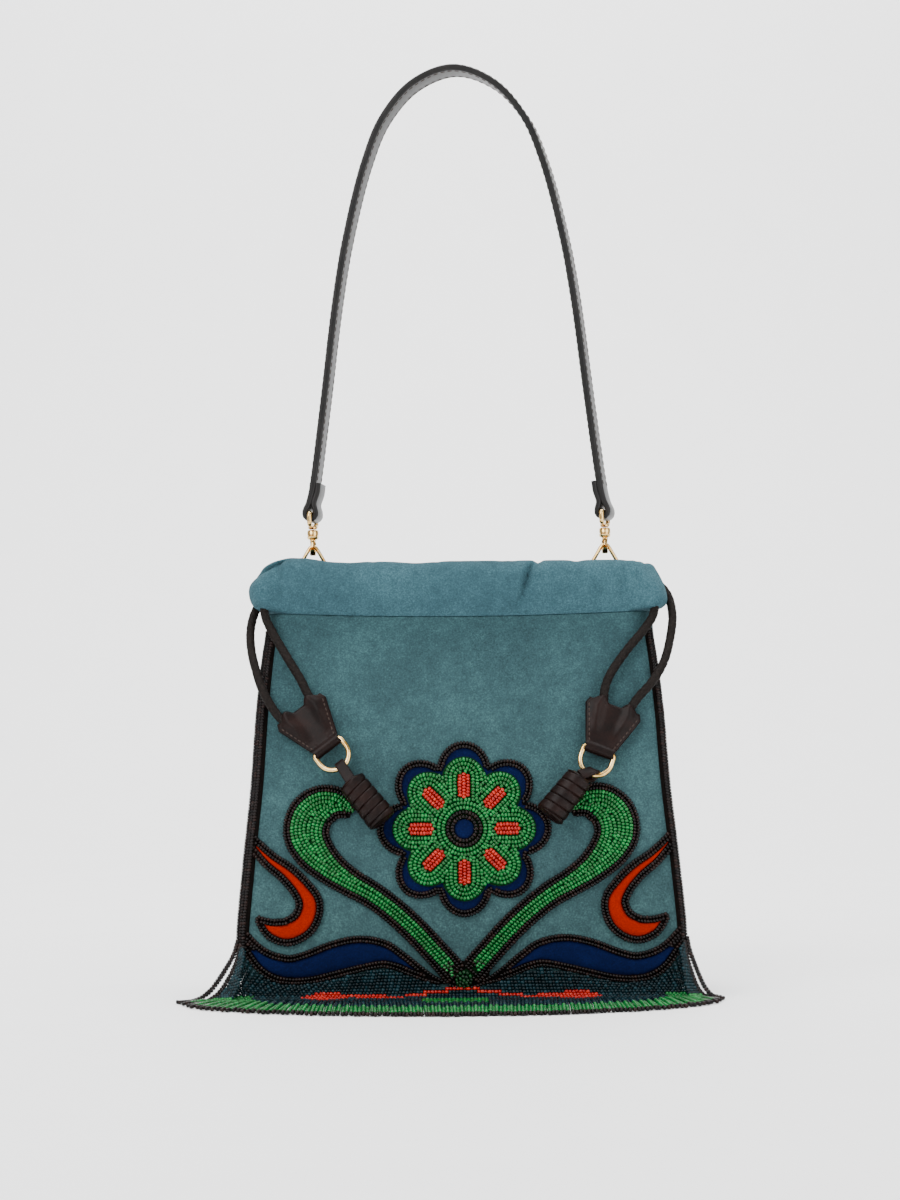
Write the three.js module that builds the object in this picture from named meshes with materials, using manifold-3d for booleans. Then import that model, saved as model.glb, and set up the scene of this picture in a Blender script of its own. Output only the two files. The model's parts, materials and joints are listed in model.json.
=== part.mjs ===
// A suede bucket bag with a drawstring mouth, a leather strap on snap hooks,
// applique flowers on the front and a bead fringe that lies out on the floor.
// Millimetres, +Z up, the front faces -Y, and the floor is at z = 0.
import * as THREE from "three";
import { mergeVertices } from "three/addons/utils/BufferGeometryUtils.js";
import Module from "manifold-3d";

const wasm = await Module();
wasm.setup();

// Driving dimensions
const GAP = 0.3;
const SIDES = [
  { name: "left", sign: -1 },
  { name: "right", sign: 1 },
];

// The sack, a row for each level from the floor to the casing's seam: half its width, its front and back
// from the mid plane, how far the front swells, its upright corners' radii and the fold of its side gussets.
const WALL = 1.8;
const SACK_ROWS = [
  { z: 0, half: 96, front: 32.5, back: 32.5, swell: 0, frontRadius: 6, backRadius: 16, fold: 0 },
  { z: 2.5, half: 100.4, front: 36.6, back: 36.6, swell: 0.3, frontRadius: 6, backRadius: 16, fold: 0 },
  { z: 9, half: 102.2, front: 38.4, back: 38.6, swell: 0.8, frontRadius: 6, backRadius: 16, fold: 0.4 },
  { z: 25, half: 102.4, front: 38.6, back: 39.4, swell: 1.6, frontRadius: 6, backRadius: 16, fold: 1.5 },
  { z: 60, half: 99.6, front: 36.4, back: 37.4, swell: 2.6, frontRadius: 6, backRadius: 16, fold: 4 },
  { z: 100, half: 95.8, front: 31.8, back: 33, swell: 3.2, frontRadius: 7, backRadius: 15, fold: 6.5 },
  { z: 135, half: 94, front: 26.4, back: 27.4, swell: 3, frontRadius: 9, backRadius: 15, fold: 6.5 },
  { z: 158, half: 92.6, front: 20.8, back: 21.2, swell: 2, frontRadius: 12, backRadius: 14, fold: 4 },
  { z: 171, half: 91.6, front: 16.6, back: 16.6, swell: 0.8, frontRadius: 14, backRadius: 14, fold: 1.2 },
  { z: 177.2, half: 91.4, front: 14.9, back: 14.9, swell: 0, frontRadius: 14, backRadius: 14, fold: 0 },
];
const SACK_TOP = SACK_ROWS.at(-1).z;
const SEAM_RISE = 2.2;
const SACK_STEPS = { front: 7, corner: 3, side: 3, back: 4 };

// The casing is a soft tube folded over the mouth. Its middle line is a long loop with round ends.
const CASING = {
  half: 90.5,
  depth: 14,
  height: 26,
  swellOut: 6.8,
  swellIn: 5,
  foot: 2.4,
  hollowOut: 4.3,
  hollowIn: 4,
  hollowBase: 3.4,
  hollowHeight: 19.6,
  hollowStart: 0.07,
  sections: 56,
};
// Gathers in the casing: place along the loop from the middle of the front, to the right, with the width,
// the depth of the crease and the dip that it makes in the top edge.
const GATHERS = [
  { along: 36, width: 3.6, depth: 2, dip: 1.4 },
  { along: 55, width: 4, depth: 0.9, dip: 0.7 },
  { along: 78, width: 3.4, depth: 1.6, dip: 0.3 },
  { along: 86, width: 3.4, depth: 1.6, dip: 0.6 },
  { along: -20, width: 9, depth: 0.6, dip: 0.9 },
  { along: -55, width: 8, depth: 0.5, dip: 0.4 },
  { along: -84, width: 3.6, depth: 1.8, dip: 0.5 },
  { along: 132, width: 5, depth: 1.6, dip: 1 },
  { along: 160, width: 4, depth: 1.8, dip: 1.2 },
  { along: 192, width: 6, depth: 1.2, dip: 0.8 },
  { along: -130, width: 5, depth: 1.8, dip: 1 },
  { along: -162, width: 4, depth: 1.4, dip: 0.8 },
];

// Two drawcords. Each leaves the casing by two eyelets at its own side, and both its ends go into one tab.
// A run gives the level inside the casing, the way up from the tab to the front eyelet, and the way down
// from the eyelet at the end of the mouth to the tab.
const CORD = { radius: 2.1, sides: 8, steps: 50, spacing: 40 };
const CORD_RUNS = {
  left: {
    level: 188.4,
    front: [[-68, -30.8, 136.4], [-71.2, -30.2, 142.2], [-74, -29, 148], [-81, -25.4, 159.4],
      [-87.6, -20.4, 170.6], [-90.8, -16.6, 177], [-91.4, -13.6, 182.2], [-87.6, -11.8, 187]],
    end: [[-90, 5.5, 188.2], [-92, -1.5, 186.6], [-96, -6.6, 181.6], [-98.2, -11.5, 173.4],
      [-97.8, -18, 163.4], [-95, -24.6, 152.4], [-91.6, -29, 143], [-85.8, -30.6, 133], [-81, -31.4, 127.8]],
  },
  right: {
    level: 194.4,
    front: [[66.4, -30.9, 135.6], [66.8, -30, 142.2], [69.6, -28.4, 149.4], [77.4, -25, 160.4],
      [86.4, -20, 170.8], [90.6, -16.4, 177], [91.6, -14.6, 182.2], [90.2, -15.2, 187.4],
      [85, -15.8, 191.8]],
    end: [[90, 6.5, 194.4], [94.4, 0, 192.6], [98.6, -5, 186.8], [100.2, -10.6, 177.6],
      [98.4, -17.4, 166], [94.6, -24.4, 154.6], [88.6, -29.4, 145.4], [82.4, -29.8, 138.6],
      [78.6, -30.4, 133.4]],
  },
};

// The cord tabs, D-rings and wound barrels, which lie on the front: where the ring's bar is, which way the
// tab hangs from the casing, and where the barrel starts and ends.
const TAB = {
  thick: 5.4,
  bevel: 1,
  barWidth: 6.9,
  shoulder: 13.6,
  neck: 9.6,
  rise: 19.5,
  length: 25.5,
  fold: 2.7,
  pocket: 2.5,
};
const RING = { wire: 1.05, half: 7.4, leg: 4.8 };
const BARREL = { radius: 6.5, wraps: 7, crest: 0.45, groove: 0.7, round: 1.6, thong: 1.3, thongGap: 2.9 };
const FITTINGS = {
  left: { bar: [-61.6, 116.4], top: [-77, 136.6], barrelTop: [-49, 98.6], barrelEnd: [-35.2, 81.4] },
  right: { bar: [63.6, 113.6], top: [72.4, 136.6], barrelTop: [54.4, 96.6], barrelEnd: [41.4, 80.8] },
};
// How far their middles lie in front of the suede
const LIE = { tabTop: 3.2, bar: 4.9, barrel: 9.6 };

// The strap: an arch of leather set on edge, a row for each point up its right half.
const STRAP = {
  width: 15,
  thick: 3,
  lean: 0.14,
  steps: 32,
  y: 4.3,
  loop: 3.6,
  hole: 1.45,
  tail: 12,
  tailThick: 2.1,
  tailTaper: 0.8,
};
const ARCH_ROWS = [
  { z: 227.3, half: 69.6 },
  { z: 243, half: 67.9 },
  { z: 281, half: 62.8 },
  { z: 328, half: 56.8 },
  { z: 358, half: 51.6 },
  { z: 394, half: 42.4 },
  { z: 415, half: 33.6 },
  { z: 431.5, half: 19 },
  { z: 438.4, half: 0 },
];

// The snap hooks, set across the strap, and the triangle rings that they hold.
const HOOK = {
  x: 69.6,
  wire: 1.1,
  eyeHalf: 9.4,
  eyeTop: ARCH_ROWS[0].z,
  eyeFoot: 221.4,
  eyeShoulder: 222,
  collar: 2.2,
  stem: 1,
  barrel: 2.7,
  barrelTop: 219.8,
  barrelFoot: 215.2,
  inner: 2.4,
  outer: 4.1,
  thick: 2.8,
  centre: 211.6,
  bend: 1.2,
  crease: 0.2,
};
const GATE = {
  radius: 3.25,
  angle: 118,
  head: 1.1,
  pin: 0.45,
  thick: 1.1,
  width: 1.2,
  slot: 1.7,
  length: 3.4,
  nose: 200,
  lug: 138,
};
const TRIANGLE = { wire: 0.9, y: 5, peak: 214, foot: 199.3, half: 8.4, bend: 1.2, peakBend: 2.6 };
const RING_TAB = { width: 11, skin: 1.3, drop: 17 };

// Applique and beadwork on the front: the heights above the suede between which each layer lies, and the
// span of depth in which they are cut.
const LAYER = {
  patch: [GAP, 1.4],
  beads: [GAP, 2.3],
  petals: [1.4 + GAP, 3.5],
  knot: [GAP, 3.6],
  start: -24,
  reach: 30,
};
const FLOWER = {
  x: 1.2,
  z: 78.6,
  lobes: 8,
  round: 0.8,
  tip: 40.4,
  valley: 31.8,
  petalTip: 33,
  petalValley: 26.2,
};
const KNOT = { x: 0.6, z: 10.2, radius: 3.6 };
// Each motif on the right half is a curved band: its middle line and half its width, from end to end.
const SCROLL_ROWS = [
  { x: 50, z: 87.6, half: 4.4 },
  { x: 56.6, z: 90.4, half: 7.8 },
  { x: 64.2, z: 89.4, half: 10 },
  { x: 70, z: 84.2, half: 10.8 },
  { x: 71.4, z: 76.4, half: 10.8 },
  { x: 67.6, z: 68.4, half: 9.6 },
  { x: 60, z: 60.6, half: 7.6 },
  { x: 51, z: 54.4, half: 6.4 },
  { x: 41, z: 48.6, half: 5.6 },
  { x: 31.4, z: 41.4, half: 5.3 },
  { x: 22, z: 32.8, half: 5 },
  { x: 13.4, z: 23.6, half: 4.6 },
  { x: 7, z: 16.6, half: 4 },
];
const CRESCENT_ROWS = [
  { x: 101, z: 79.4, half: 4.2 },
  { x: 96, z: 71.4, half: 4.4 },
  { x: 88.4, z: 63.6, half: 4.6 },
  { x: 80.6, z: 57.8, half: 4.8 },
  { x: 73.8, z: 51.6, half: 5.6 },
  { x: 70.2, z: 44.4, half: 6.6 },
  { x: 72.8, z: 36.4, half: 6.9 },
  { x: 79.8, z: 32.2, half: 6.8 },
  { x: 86.6, z: 33, half: 5.6 },
  { x: 91.6, z: 36, half: 3.4 },
  { x: 94.6, z: 39, half: 1.4 },
];
const LEAF_ROWS = [
  { x: 101.6, z: 31.2, half: 3.4 },
  { x: 96.4, z: 24, half: 4.5 },
  { x: 91.2, z: 18.8, half: 5.9 },
  { x: 85.4, z: 15.8, half: 6.7 },
  { x: 78.4, z: 14.7, half: 7 },
  { x: 69.4, z: 16.2, half: 7.8 },
  { x: 58, z: 19.7, half: 8.6 },
  { x: 47, z: 22, half: 8.4 },
  { x: 37, z: 21.8, half: 6.8 },
  { x: 29.6, z: 18.8, half: 5 },
  { x: 23, z: 15, half: 3.8 },
  { x: 15.5, z: 10.9, half: 2.4 },
  { x: 9, z: 8.4, half: 1.5 },
];
const BAND_STEPS = 18;

// The beaded ropes down the edges of the front, and the fringe with its arc on the floor.
const ROPE = { radius: 1.6, top: 166, foot: 24, levels: 9, proud: 2.2 };
const FRINGE = {
  locks: 17,
  halfSpan: 96,
  half: 1.2,
  headTall: 3,
  arcY: -46.5,
  arcHalf: 133,
  arcReach: 57.5,
  fan: 1.5,
  drop: 5,
  bend: 4.5,
  knee: 0.35,
  kneeLift: 0.9,
  fill: 0.92,
};
// The level at which the fringe starts, under the leaves' lower edge, by the distance from the middle
const FRINGE_STARTS = [
  { x: 0, z: 5 },
  { x: 10, z: 5.2 },
  { x: 17, z: 6.8 },
  { x: 25, z: 9.6 },
  { x: 32, z: 12.2 },
  { x: 38, z: 12.9 },
  { x: 46, z: 11.6 },
  { x: 56, z: 9.2 },
  { x: 68, z: 6.6 },
  { x: 78, z: 5.8 },
  { x: 87, z: 7.4 },
  { x: 92, z: 9.6 },
  { x: 97, z: 12.4 },
];

const COLOURS = {
  suede: { color: 0x4f7a85, roughness: 0.95, metalness: 0 },
  cord: { color: 0x24201f, roughness: 0.7, metalness: 0 },
  leather: { color: 0x3a2c27, roughness: 0.55, metalness: 0 },
  strap: { color: 0x2c2a29, roughness: 0.6, metalness: 0 },
  gold: { color: 0xd8b56a, roughness: 0.25, metalness: 1 },
  navy: { color: 0x12306a, roughness: 0.95, metalness: 0 },
  orange: { color: 0xb2320f, roughness: 0.95, metalness: 0 },
  green: { color: 0x1e8a3c, roughness: 0.2, metalness: 0 },
  brown: { color: 0x3a2a28, roughness: 0.25, metalness: 0 },
  teal: { color: 0x1f4a55, roughness: 0.25, metalness: 0 },
};

// Solids
function toSolid(geometry) {
  const bare = geometry.clone();
  bare.deleteAttribute("normal");
  bare.deleteAttribute("uv");
  const merged = mergeVertices(bare, 1e-4);
  const corners = merged.index.array;
  const kept = [];
  for (let i = 0; i < corners.length; i += 3) {
    const [a, b, c] = corners.slice(i, i + 3);
    if (a !== b && b !== c && c !== a) kept.push(a, b, c);
  }
  const solid = new wasm.Manifold(new wasm.Mesh({
    numProp: 3,
    vertProperties: new Float32Array(merged.attributes.position.array),
    triVerts: new Uint32Array(kept),
  }));
  if (solid.volume() <= 0) throw new Error("a solid is inside out");
  return solid;
}

function toGeometry(solid) {
  const { vertProperties, triVerts } = solid.getMesh();
  const geometry = new THREE.BufferGeometry();
  geometry.setAttribute("position", new THREE.BufferAttribute(vertProperties, 3));
  geometry.setIndex(new THREE.BufferAttribute(triVerts, 1));
  geometry.computeVertexNormals();
  return geometry;
}

// A skin through rings of equal count, closed on itself or with a flat cap at each end.
function loft(rings, closed = false) {
  const count = rings[0].length;
  const index = [];
  const spans = closed ? rings.length : rings.length - 1;
  for (let i = 0; i < spans; i++) {
    const here = i * count;
    const next = ((i + 1) % rings.length) * count;
    for (let j = 0; j < count; j++) {
      const k = (j + 1) % count;
      index.push(here + j, here + k, next + k, here + j, next + k, next + j);
    }
  }
  if (!closed) {
    const last = (rings.length - 1) * count;
    for (let j = 1; j < count - 1; j++) {
      index.push(0, j + 1, j);
      index.push(last, last + j, last + j + 1);
    }
  }
  const geometry = new THREE.BufferGeometry();
  const position = rings.flat().flatMap((point) => [point.x, point.y, point.z]);
  geometry.setAttribute("position", new THREE.Float32BufferAttribute(position, 3));
  geometry.setIndex(index);
  return geometry;
}

function polygon(points) {
  return new THREE.Shape(points.map(([x, y]) => new THREE.Vector2(x, y)));
}

function circlePoints(radius, sides, cx = 0, cy = 0) {
  return Array.from({ length: sides }, (_, i) => {
    const angle = (2 * Math.PI * i) / sides;
    return [cx + radius * Math.cos(angle), cy + radius * Math.sin(angle)];
  });
}

function extrude(shape, depth) {
  return new THREE.ExtrudeGeometry(shape, { depth, steps: 1, bevelEnabled: false });
}

function tube(curve, radius, sides, steps) {
  const section = polygon(circlePoints(radius, sides));
  return new THREE.ExtrudeGeometry(section, { steps, bevelEnabled: false, extrudePath: curve });
}

// A wire bent into a closed flat loop, through points in the plane of two unit vectors.
function wireLoop(points, origin, right, up, radius, sides) {
  const out = new THREE.Vector3().crossVectors(right, up);
  const place = ([a, b]) => origin.clone().addScaledVector(right, a).addScaledVector(up, b);
  const centres = points.map(place);
  const rings = centres.map((centre, i) => {
    const before = centres[(i + centres.length - 1) % centres.length];
    const after = centres[(i + 1) % centres.length];
    const side = after.clone().sub(before).normalize().cross(out);
    return circlePoints(radius, sides).map(([a, b]) =>
      centre.clone().addScaledVector(side, a).addScaledVector(out, -b));
  });
  return loft(rings, true);
}

// A closed outline through corners, each given as two places and the radius of its bend.
function roundedLoop(corners, steps) {
  const points = [];
  const count = corners.length;
  corners.forEach(([a, b, radius], i) => {
    const here = new THREE.Vector2(a, b);
    const toBack = new THREE.Vector2(...corners[(i + count - 1) % count]).sub(here).normalize();
    const toNext = new THREE.Vector2(...corners[(i + 1) % count]).sub(here).normalize();
    const turn = toBack.angleTo(toNext) / 2;
    const start = here.clone().addScaledVector(toBack, radius / Math.tan(turn));
    const finish = here.clone().addScaledVector(toNext, radius / Math.tan(turn));
    const bend = new THREE.QuadraticBezierCurve(start, here, finish);
    points.push(...bend.getPoints(steps).map((point) => [point.x, point.y]));
  });
  return points;
}

const bag = new THREE.Group();
function add(name, shape, finish) {
  const geometry = shape instanceof THREE.BufferGeometry ? toGeometry(toSolid(shape)) : toGeometry(shape);
  const mesh = new THREE.Mesh(geometry, new THREE.MeshStandardMaterial(COLOURS[finish]));
  mesh.name = name;
  bag.add(mesh);
}

// The sack
function rowAt(rows, column, place) {
  const upper = rows.findIndex((row) => row[column] >= place);
  if (upper <= 0) return rows.at(upper);
  const low = rows[upper - 1];
  const high = rows[upper];
  const share = (place - low[column]) / (high[column] - low[column]);
  const between = (key) => [key, THREE.MathUtils.lerp(low[key], high[key], share)];
  return Object.fromEntries(Object.keys(low).map(between));
}

function sackRow(z) {
  return rowAt(SACK_ROWS, "z", z);
}

function seamRise(x, z) {
  return SEAM_RISE * (x / CASING.half) ** 2 * (z / SACK_TOP) ** 6;
}

function sackRing(row, grow) {
  const half = row.half + grow;
  const front = row.front + grow;
  const back = row.back + grow;
  const rf = row.frontRadius + grow;
  const rb = row.backRadius + grow;
  const flat = [];
  const corner = (cx, cy, radius, start) => {
    for (let i = 0; i < SACK_STEPS.corner; i++) {
      const angle = start + (Math.PI / 2) * (i / SACK_STEPS.corner);
      flat.push([cx + radius * Math.cos(angle), cy + radius * Math.sin(angle)]);
    }
  };
  const side = (sign) => {
    for (let i = 0; i < SACK_STEPS.side; i++) {
      const share = i / SACK_STEPS.side;
      const depth = sign > 0 ? share : 1 - share;
      const y = THREE.MathUtils.lerp(-front + rf, back - rb, depth);
      flat.push([sign * (half - row.fold * Math.sin(Math.PI * depth) ** 2), y]);
    }
  };
  for (let i = 0; i < SACK_STEPS.front; i++) {
    const across = (2 * i) / SACK_STEPS.front - 1;
    flat.push([across * (half - rf), -front - row.swell * (1 - across ** 2)]);
  }
  corner(half - rf, -front + rf, rf, -Math.PI / 2);
  side(1);
  corner(half - rb, back - rb, rb, 0);
  for (let i = 0; i < SACK_STEPS.back; i++) {
    const across = 1 - (2 * i) / SACK_STEPS.back;
    flat.push([across * (half - rb), back + row.swell * (1 - across ** 2)]);
  }
  corner(-half + rb, back - rb, rb, Math.PI / 2);
  side(-1);
  corner(-half + rf, -front + rf, rf, Math.PI);
  return flat.map(([x, y]) => new THREE.Vector3(x, y, row.z + seamRise(x, row.z)));
}

function frontY(x, z) {
  const row = sackRow(z);
  const flat = row.half - row.frontRadius;
  const past = Math.min(Math.abs(x) - flat, row.frontRadius);
  if (past > 0) return -row.front + row.frontRadius - Math.sqrt(row.frontRadius ** 2 - past ** 2);
  return -row.front - row.swell * (1 - (x / flat) ** 2);
}

function frontFrame(x, z) {
  const reach = 4;
  const along = new THREE.Vector3(2 * reach, frontY(x + reach, z) - frontY(x - reach, z), 0).normalize();
  const up = new THREE.Vector3(0, frontY(x, z + reach) - frontY(x, z - reach), 2 * reach).normalize();
  const out = new THREE.Vector3().crossVectors(along, up).normalize();
  return { point: new THREE.Vector3(x, frontY(x, z), z), along, up, out };
}

function onFront([x, z], height) {
  const { point, out } = frontFrame(x, z);
  return point.addScaledVector(out, height);
}

function sackBlock(grow) {
  return toSolid(loft(SACK_ROWS.map((row) => sackRing(row, grow))));
}

const outside = SACK_ROWS.map((row) => sackRing(row, 0));
const inside = SACK_ROWS.slice(1).map((row) => sackRing(row, -WALL)).reverse();
add("bag_body", loft([...outside, ...inside]), "suede");

// The casing
function casingLoop(along) {
  const straight = CASING.half - CASING.depth;
  const bend = Math.PI * CASING.depth;
  const around = 4 * straight + 2 * bend;
  let s = ((along % around) + around) % around;
  if (s < straight) return { x: s, y: -CASING.depth, nx: 0, ny: -1 };
  s -= straight;
  if (s < bend) {
    const angle = s / CASING.depth;
    const nx = Math.sin(angle);
    const ny = -Math.cos(angle);
    return { x: straight + CASING.depth * nx, y: CASING.depth * ny, nx, ny };
  }
  s -= bend;
  if (s < 2 * straight) return { x: straight - s, y: CASING.depth, nx: 0, ny: 1 };
  s -= 2 * straight;
  if (s < bend) {
    const angle = s / CASING.depth;
    const nx = -Math.sin(angle);
    const ny = Math.cos(angle);
    return { x: -straight + CASING.depth * nx, y: CASING.depth * ny, nx, ny };
  }
  return { x: s - bend - straight, y: -CASING.depth, nx: 0, ny: -1 };
}
const LOOP_LENGTH = 4 * (CASING.half - CASING.depth) + 2 * Math.PI * CASING.depth;

function gatherAt(along, column) {
  return GATHERS.reduce((sum, gather) => {
    let away = Math.abs(along - gather.along) % LOOP_LENGTH;
    away = Math.min(away, LOOP_LENGTH - away);
    return sum + gather[column] * Math.exp(-((away / gather.width) ** 2));
  }, 0);
}

function casingRing(along, shape) {
  const { x, y, nx, ny } = casingLoop(along);
  const foot = SACK_TOP + GAP + SEAM_RISE * (x / CASING.half) ** 2;
  return shape.map(([out, up]) => new THREE.Vector3(x + nx * out, y + ny * out, foot + up));
}

function casingOutside(along) {
  const creased = CASING.swellOut - gatherAt(along, "depth");
  const rise = SEAM_RISE * (casingLoop(along).x / CASING.half) ** 2;
  const height = CASING.height - gatherAt(along, "dip") - rise;
  const shape = [];
  const points = 7;
  for (let i = 0; i <= points; i++) {
    const v = i / points;
    const swell = v < 0.5 ? creased : CASING.swellIn;
    const out = (CASING.foot / 2) * Math.cos(Math.PI * v) + swell * Math.sin(2 * Math.PI * v);
    shape.push([out, height * Math.sin(Math.PI * v)]);
  }
  return shape;
}

function casingHollow() {
  const shape = [];
  const points = 5;
  for (let i = 0; i <= points; i++) {
    const v = THREE.MathUtils.lerp(CASING.hollowStart, 1 - CASING.hollowStart, i / points);
    const swell = v < 0.5 ? CASING.hollowOut : CASING.hollowIn;
    const up = CASING.hollowBase + CASING.hollowHeight * Math.sin(Math.PI * v);
    shape.push([swell * Math.sin(2 * Math.PI * v), up - SEAM_RISE]);
  }
  return shape;
}

function casingTube(shapeAt, sections) {
  const rings = [];
  for (let i = 0; i < sections; i++) {
    const along = (LOOP_LENGTH * i) / sections;
    rings.push(casingRing(along, shapeAt(along)).reverse());
  }
  return toSolid(loft(rings, true));
}

// The drawcords, each through the whole casing
function cordCurve(side, sign) {
  const run = CORD_RUNS[side];
  const straight = CASING.half - CASING.depth;
  const turn = Math.PI * CASING.depth;
  const spots = [];
  for (const step of [-1.5, -0.5, 0.5, 1.5]) spots.push(step * CORD.spacing);
  for (const share of [0, 0.25, 0.5, 0.75, 1]) spots.push(straight + share * turn);
  for (const step of [-1.5, -0.5, 0.5, 1.5]) spots.push(2 * straight + turn + step * CORD.spacing);
  const inside = spots.map((along) => {
    const { x, y } = casingLoop(along);
    return new THREE.Vector3(-sign * x, y, run.level);
  });
  const place = (point) => new THREE.Vector3(...point);
  const points = [...run.front.map(place), ...inside, ...run.end.map(place)];
  return new THREE.CatmullRomCurve3(points, false, "centripetal");
}

const cordCurves = Object.fromEntries(SIDES.map(({ name, sign }) => [name, cordCurve(name, sign)]));
const casingSkin = casingTube(casingOutside, CASING.sections);
let casing = casingSkin.subtract(casingTube(casingHollow, CASING.sections / 2));
for (const { name } of SIDES) {
  casing = casing.subtract(toSolid(tube(cordCurves[name], CORD.radius + GAP, CORD.sides, CORD.steps)));
}
add("drawstring_casing", casing, "suede");
for (const { name } of SIDES) {
  add(`drawcord_${name}`, tube(cordCurves[name], CORD.radius, CORD.sides, CORD.steps), "cord");
}

// The cord tabs, with the D-rings and the wound barrels
function tabFrame(fit) {
  const bar = onFront(fit.bar, LIE.bar);
  const up = onFront(fit.top, LIE.tabTop).sub(bar).normalize();
  const out = frontFrame(...fit.bar).out;
  const right = new THREE.Vector3().crossVectors(up, out).normalize();
  return { bar, up, right, out: new THREE.Vector3().crossVectors(right, up) };
}

function tabSolid(frame, name) {
  const outline = polygon([
    [-TAB.barWidth, 0],
    [TAB.barWidth, 0],
    [TAB.shoulder, TAB.rise],
    [TAB.neck, TAB.length],
    [-TAB.neck, TAB.length],
    [-TAB.shoulder, TAB.rise],
  ]);
  const plate = new THREE.ExtrudeGeometry(outline, {
    depth: TAB.thick - 2 * TAB.bevel,
    bevelThickness: TAB.bevel,
    bevelSize: TAB.bevel,
    bevelOffset: -TAB.bevel,
    bevelSegments: 1,
  });
  plate.translate(0, 0, -TAB.thick / 2 + TAB.bevel);
  const lie = new THREE.Matrix4().makeBasis(frame.right, frame.up, frame.out).setPosition(frame.bar);
  const roll = (radius, length) =>
    new THREE.CylinderGeometry(radius, radius, length, 12).rotateZ(Math.PI / 2).applyMatrix4(lie);
  const fold = roll(TAB.fold, 2 * (TAB.barWidth - TAB.bevel));
  const bore = roll(RING.wire + GAP, 2 * TAB.shoulder);
  const curve = cordCurves[name];
  const cords = tube(curve, CORD.radius + GAP, CORD.sides, CORD.steps);
  let tab = toSolid(plate.applyMatrix4(lie)).add(toSolid(fold));
  tab = tab.subtract(toSolid(bore)).subtract(toSolid(cords));
  const upright = new THREE.Vector3(0, 1, 0);
  for (const share of [0, 1]) {
    const end = curve.getPoint(share);
    const turn = new THREE.Quaternion().setFromUnitVectors(upright, curve.getTangent(share));
    const pocket = new THREE.CylinderGeometry(TAB.pocket, TAB.pocket, 4 * GAP, 10).applyQuaternion(turn);
    tab = tab.subtract(toSolid(pocket.translate(end.x, end.y, end.z)));
  }
  return tab;
}

function dRing(frame) {
  const points = [[-RING.half, 0], [RING.half, 0]];
  const steps = 10;
  for (let i = 0; i <= steps; i++) {
    const angle = (-Math.PI * i) / steps;
    points.push([RING.half * Math.cos(angle), -RING.leg + RING.half * Math.sin(angle)]);
  }
  return wireLoop(points, frame.bar, frame.right, frame.up, RING.wire, 6);
}

function barrelSolid(frame, fit) {
  const top = onFront(fit.barrelTop, LIE.barrel);
  const foot = onFront(fit.barrelEnd, LIE.barrel);
  const axis = foot.clone().sub(top);
  const length = axis.length();
  axis.normalize();
  const profile = [[0, 0], [BARREL.radius - BARREL.round - BARREL.groove, 0]];
  const pitch = length / BARREL.wraps;
  for (let i = 0; i < BARREL.wraps; i++) {
    profile.push([BARREL.radius, (i + BARREL.crest) * pitch]);
    if (i < BARREL.wraps - 1) profile.push([BARREL.radius - BARREL.groove, (i + 1) * pitch]);
  }
  profile.push([BARREL.radius - BARREL.round - BARREL.groove, length], [0, length]);
  const lathe = new THREE.LatheGeometry(profile.map(([r, h]) => new THREE.Vector2(r, h)), 10);
  const turn = new THREE.Quaternion().setFromUnitVectors(new THREE.Vector3(0, 1, 0), axis);
  lathe.applyQuaternion(turn).translate(top.x, top.y, top.z);
  const bow = frame.bar.clone().addScaledVector(frame.up, -RING.leg - RING.half);
  const along = top.clone().addScaledVector(axis, BARREL.round).sub(bow);
  const reach = along.length();
  along.normalize();
  const across = new THREE.Vector3().crossVectors(along, frame.right).normalize();
  const thong = [];
  const steps = 8;
  for (let i = 0; i <= steps; i++) {
    const angle = Math.PI / 2 + (Math.PI * i) / steps;
    thong.push([BARREL.thongGap * Math.cos(angle), BARREL.thongGap * Math.sin(angle)]);
  }
  thong.push([reach, -BARREL.thongGap], [reach, BARREL.thongGap]);
  const loop = wireLoop(thong, bow, along, across, BARREL.thong, 6);
  return toSolid(lathe).add(toSolid(loop));
}

for (const { name } of SIDES) {
  const fit = FITTINGS[name];
  const frame = tabFrame(fit);
  add(`cord_tab_${name}`, tabSolid(frame, name), "leather");
  add(`d_ring_${name}`, dRing(frame), "gold");
  add(`cord_barrel_${name}`, barrelSolid(frame, fit), "leather");
}

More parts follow.
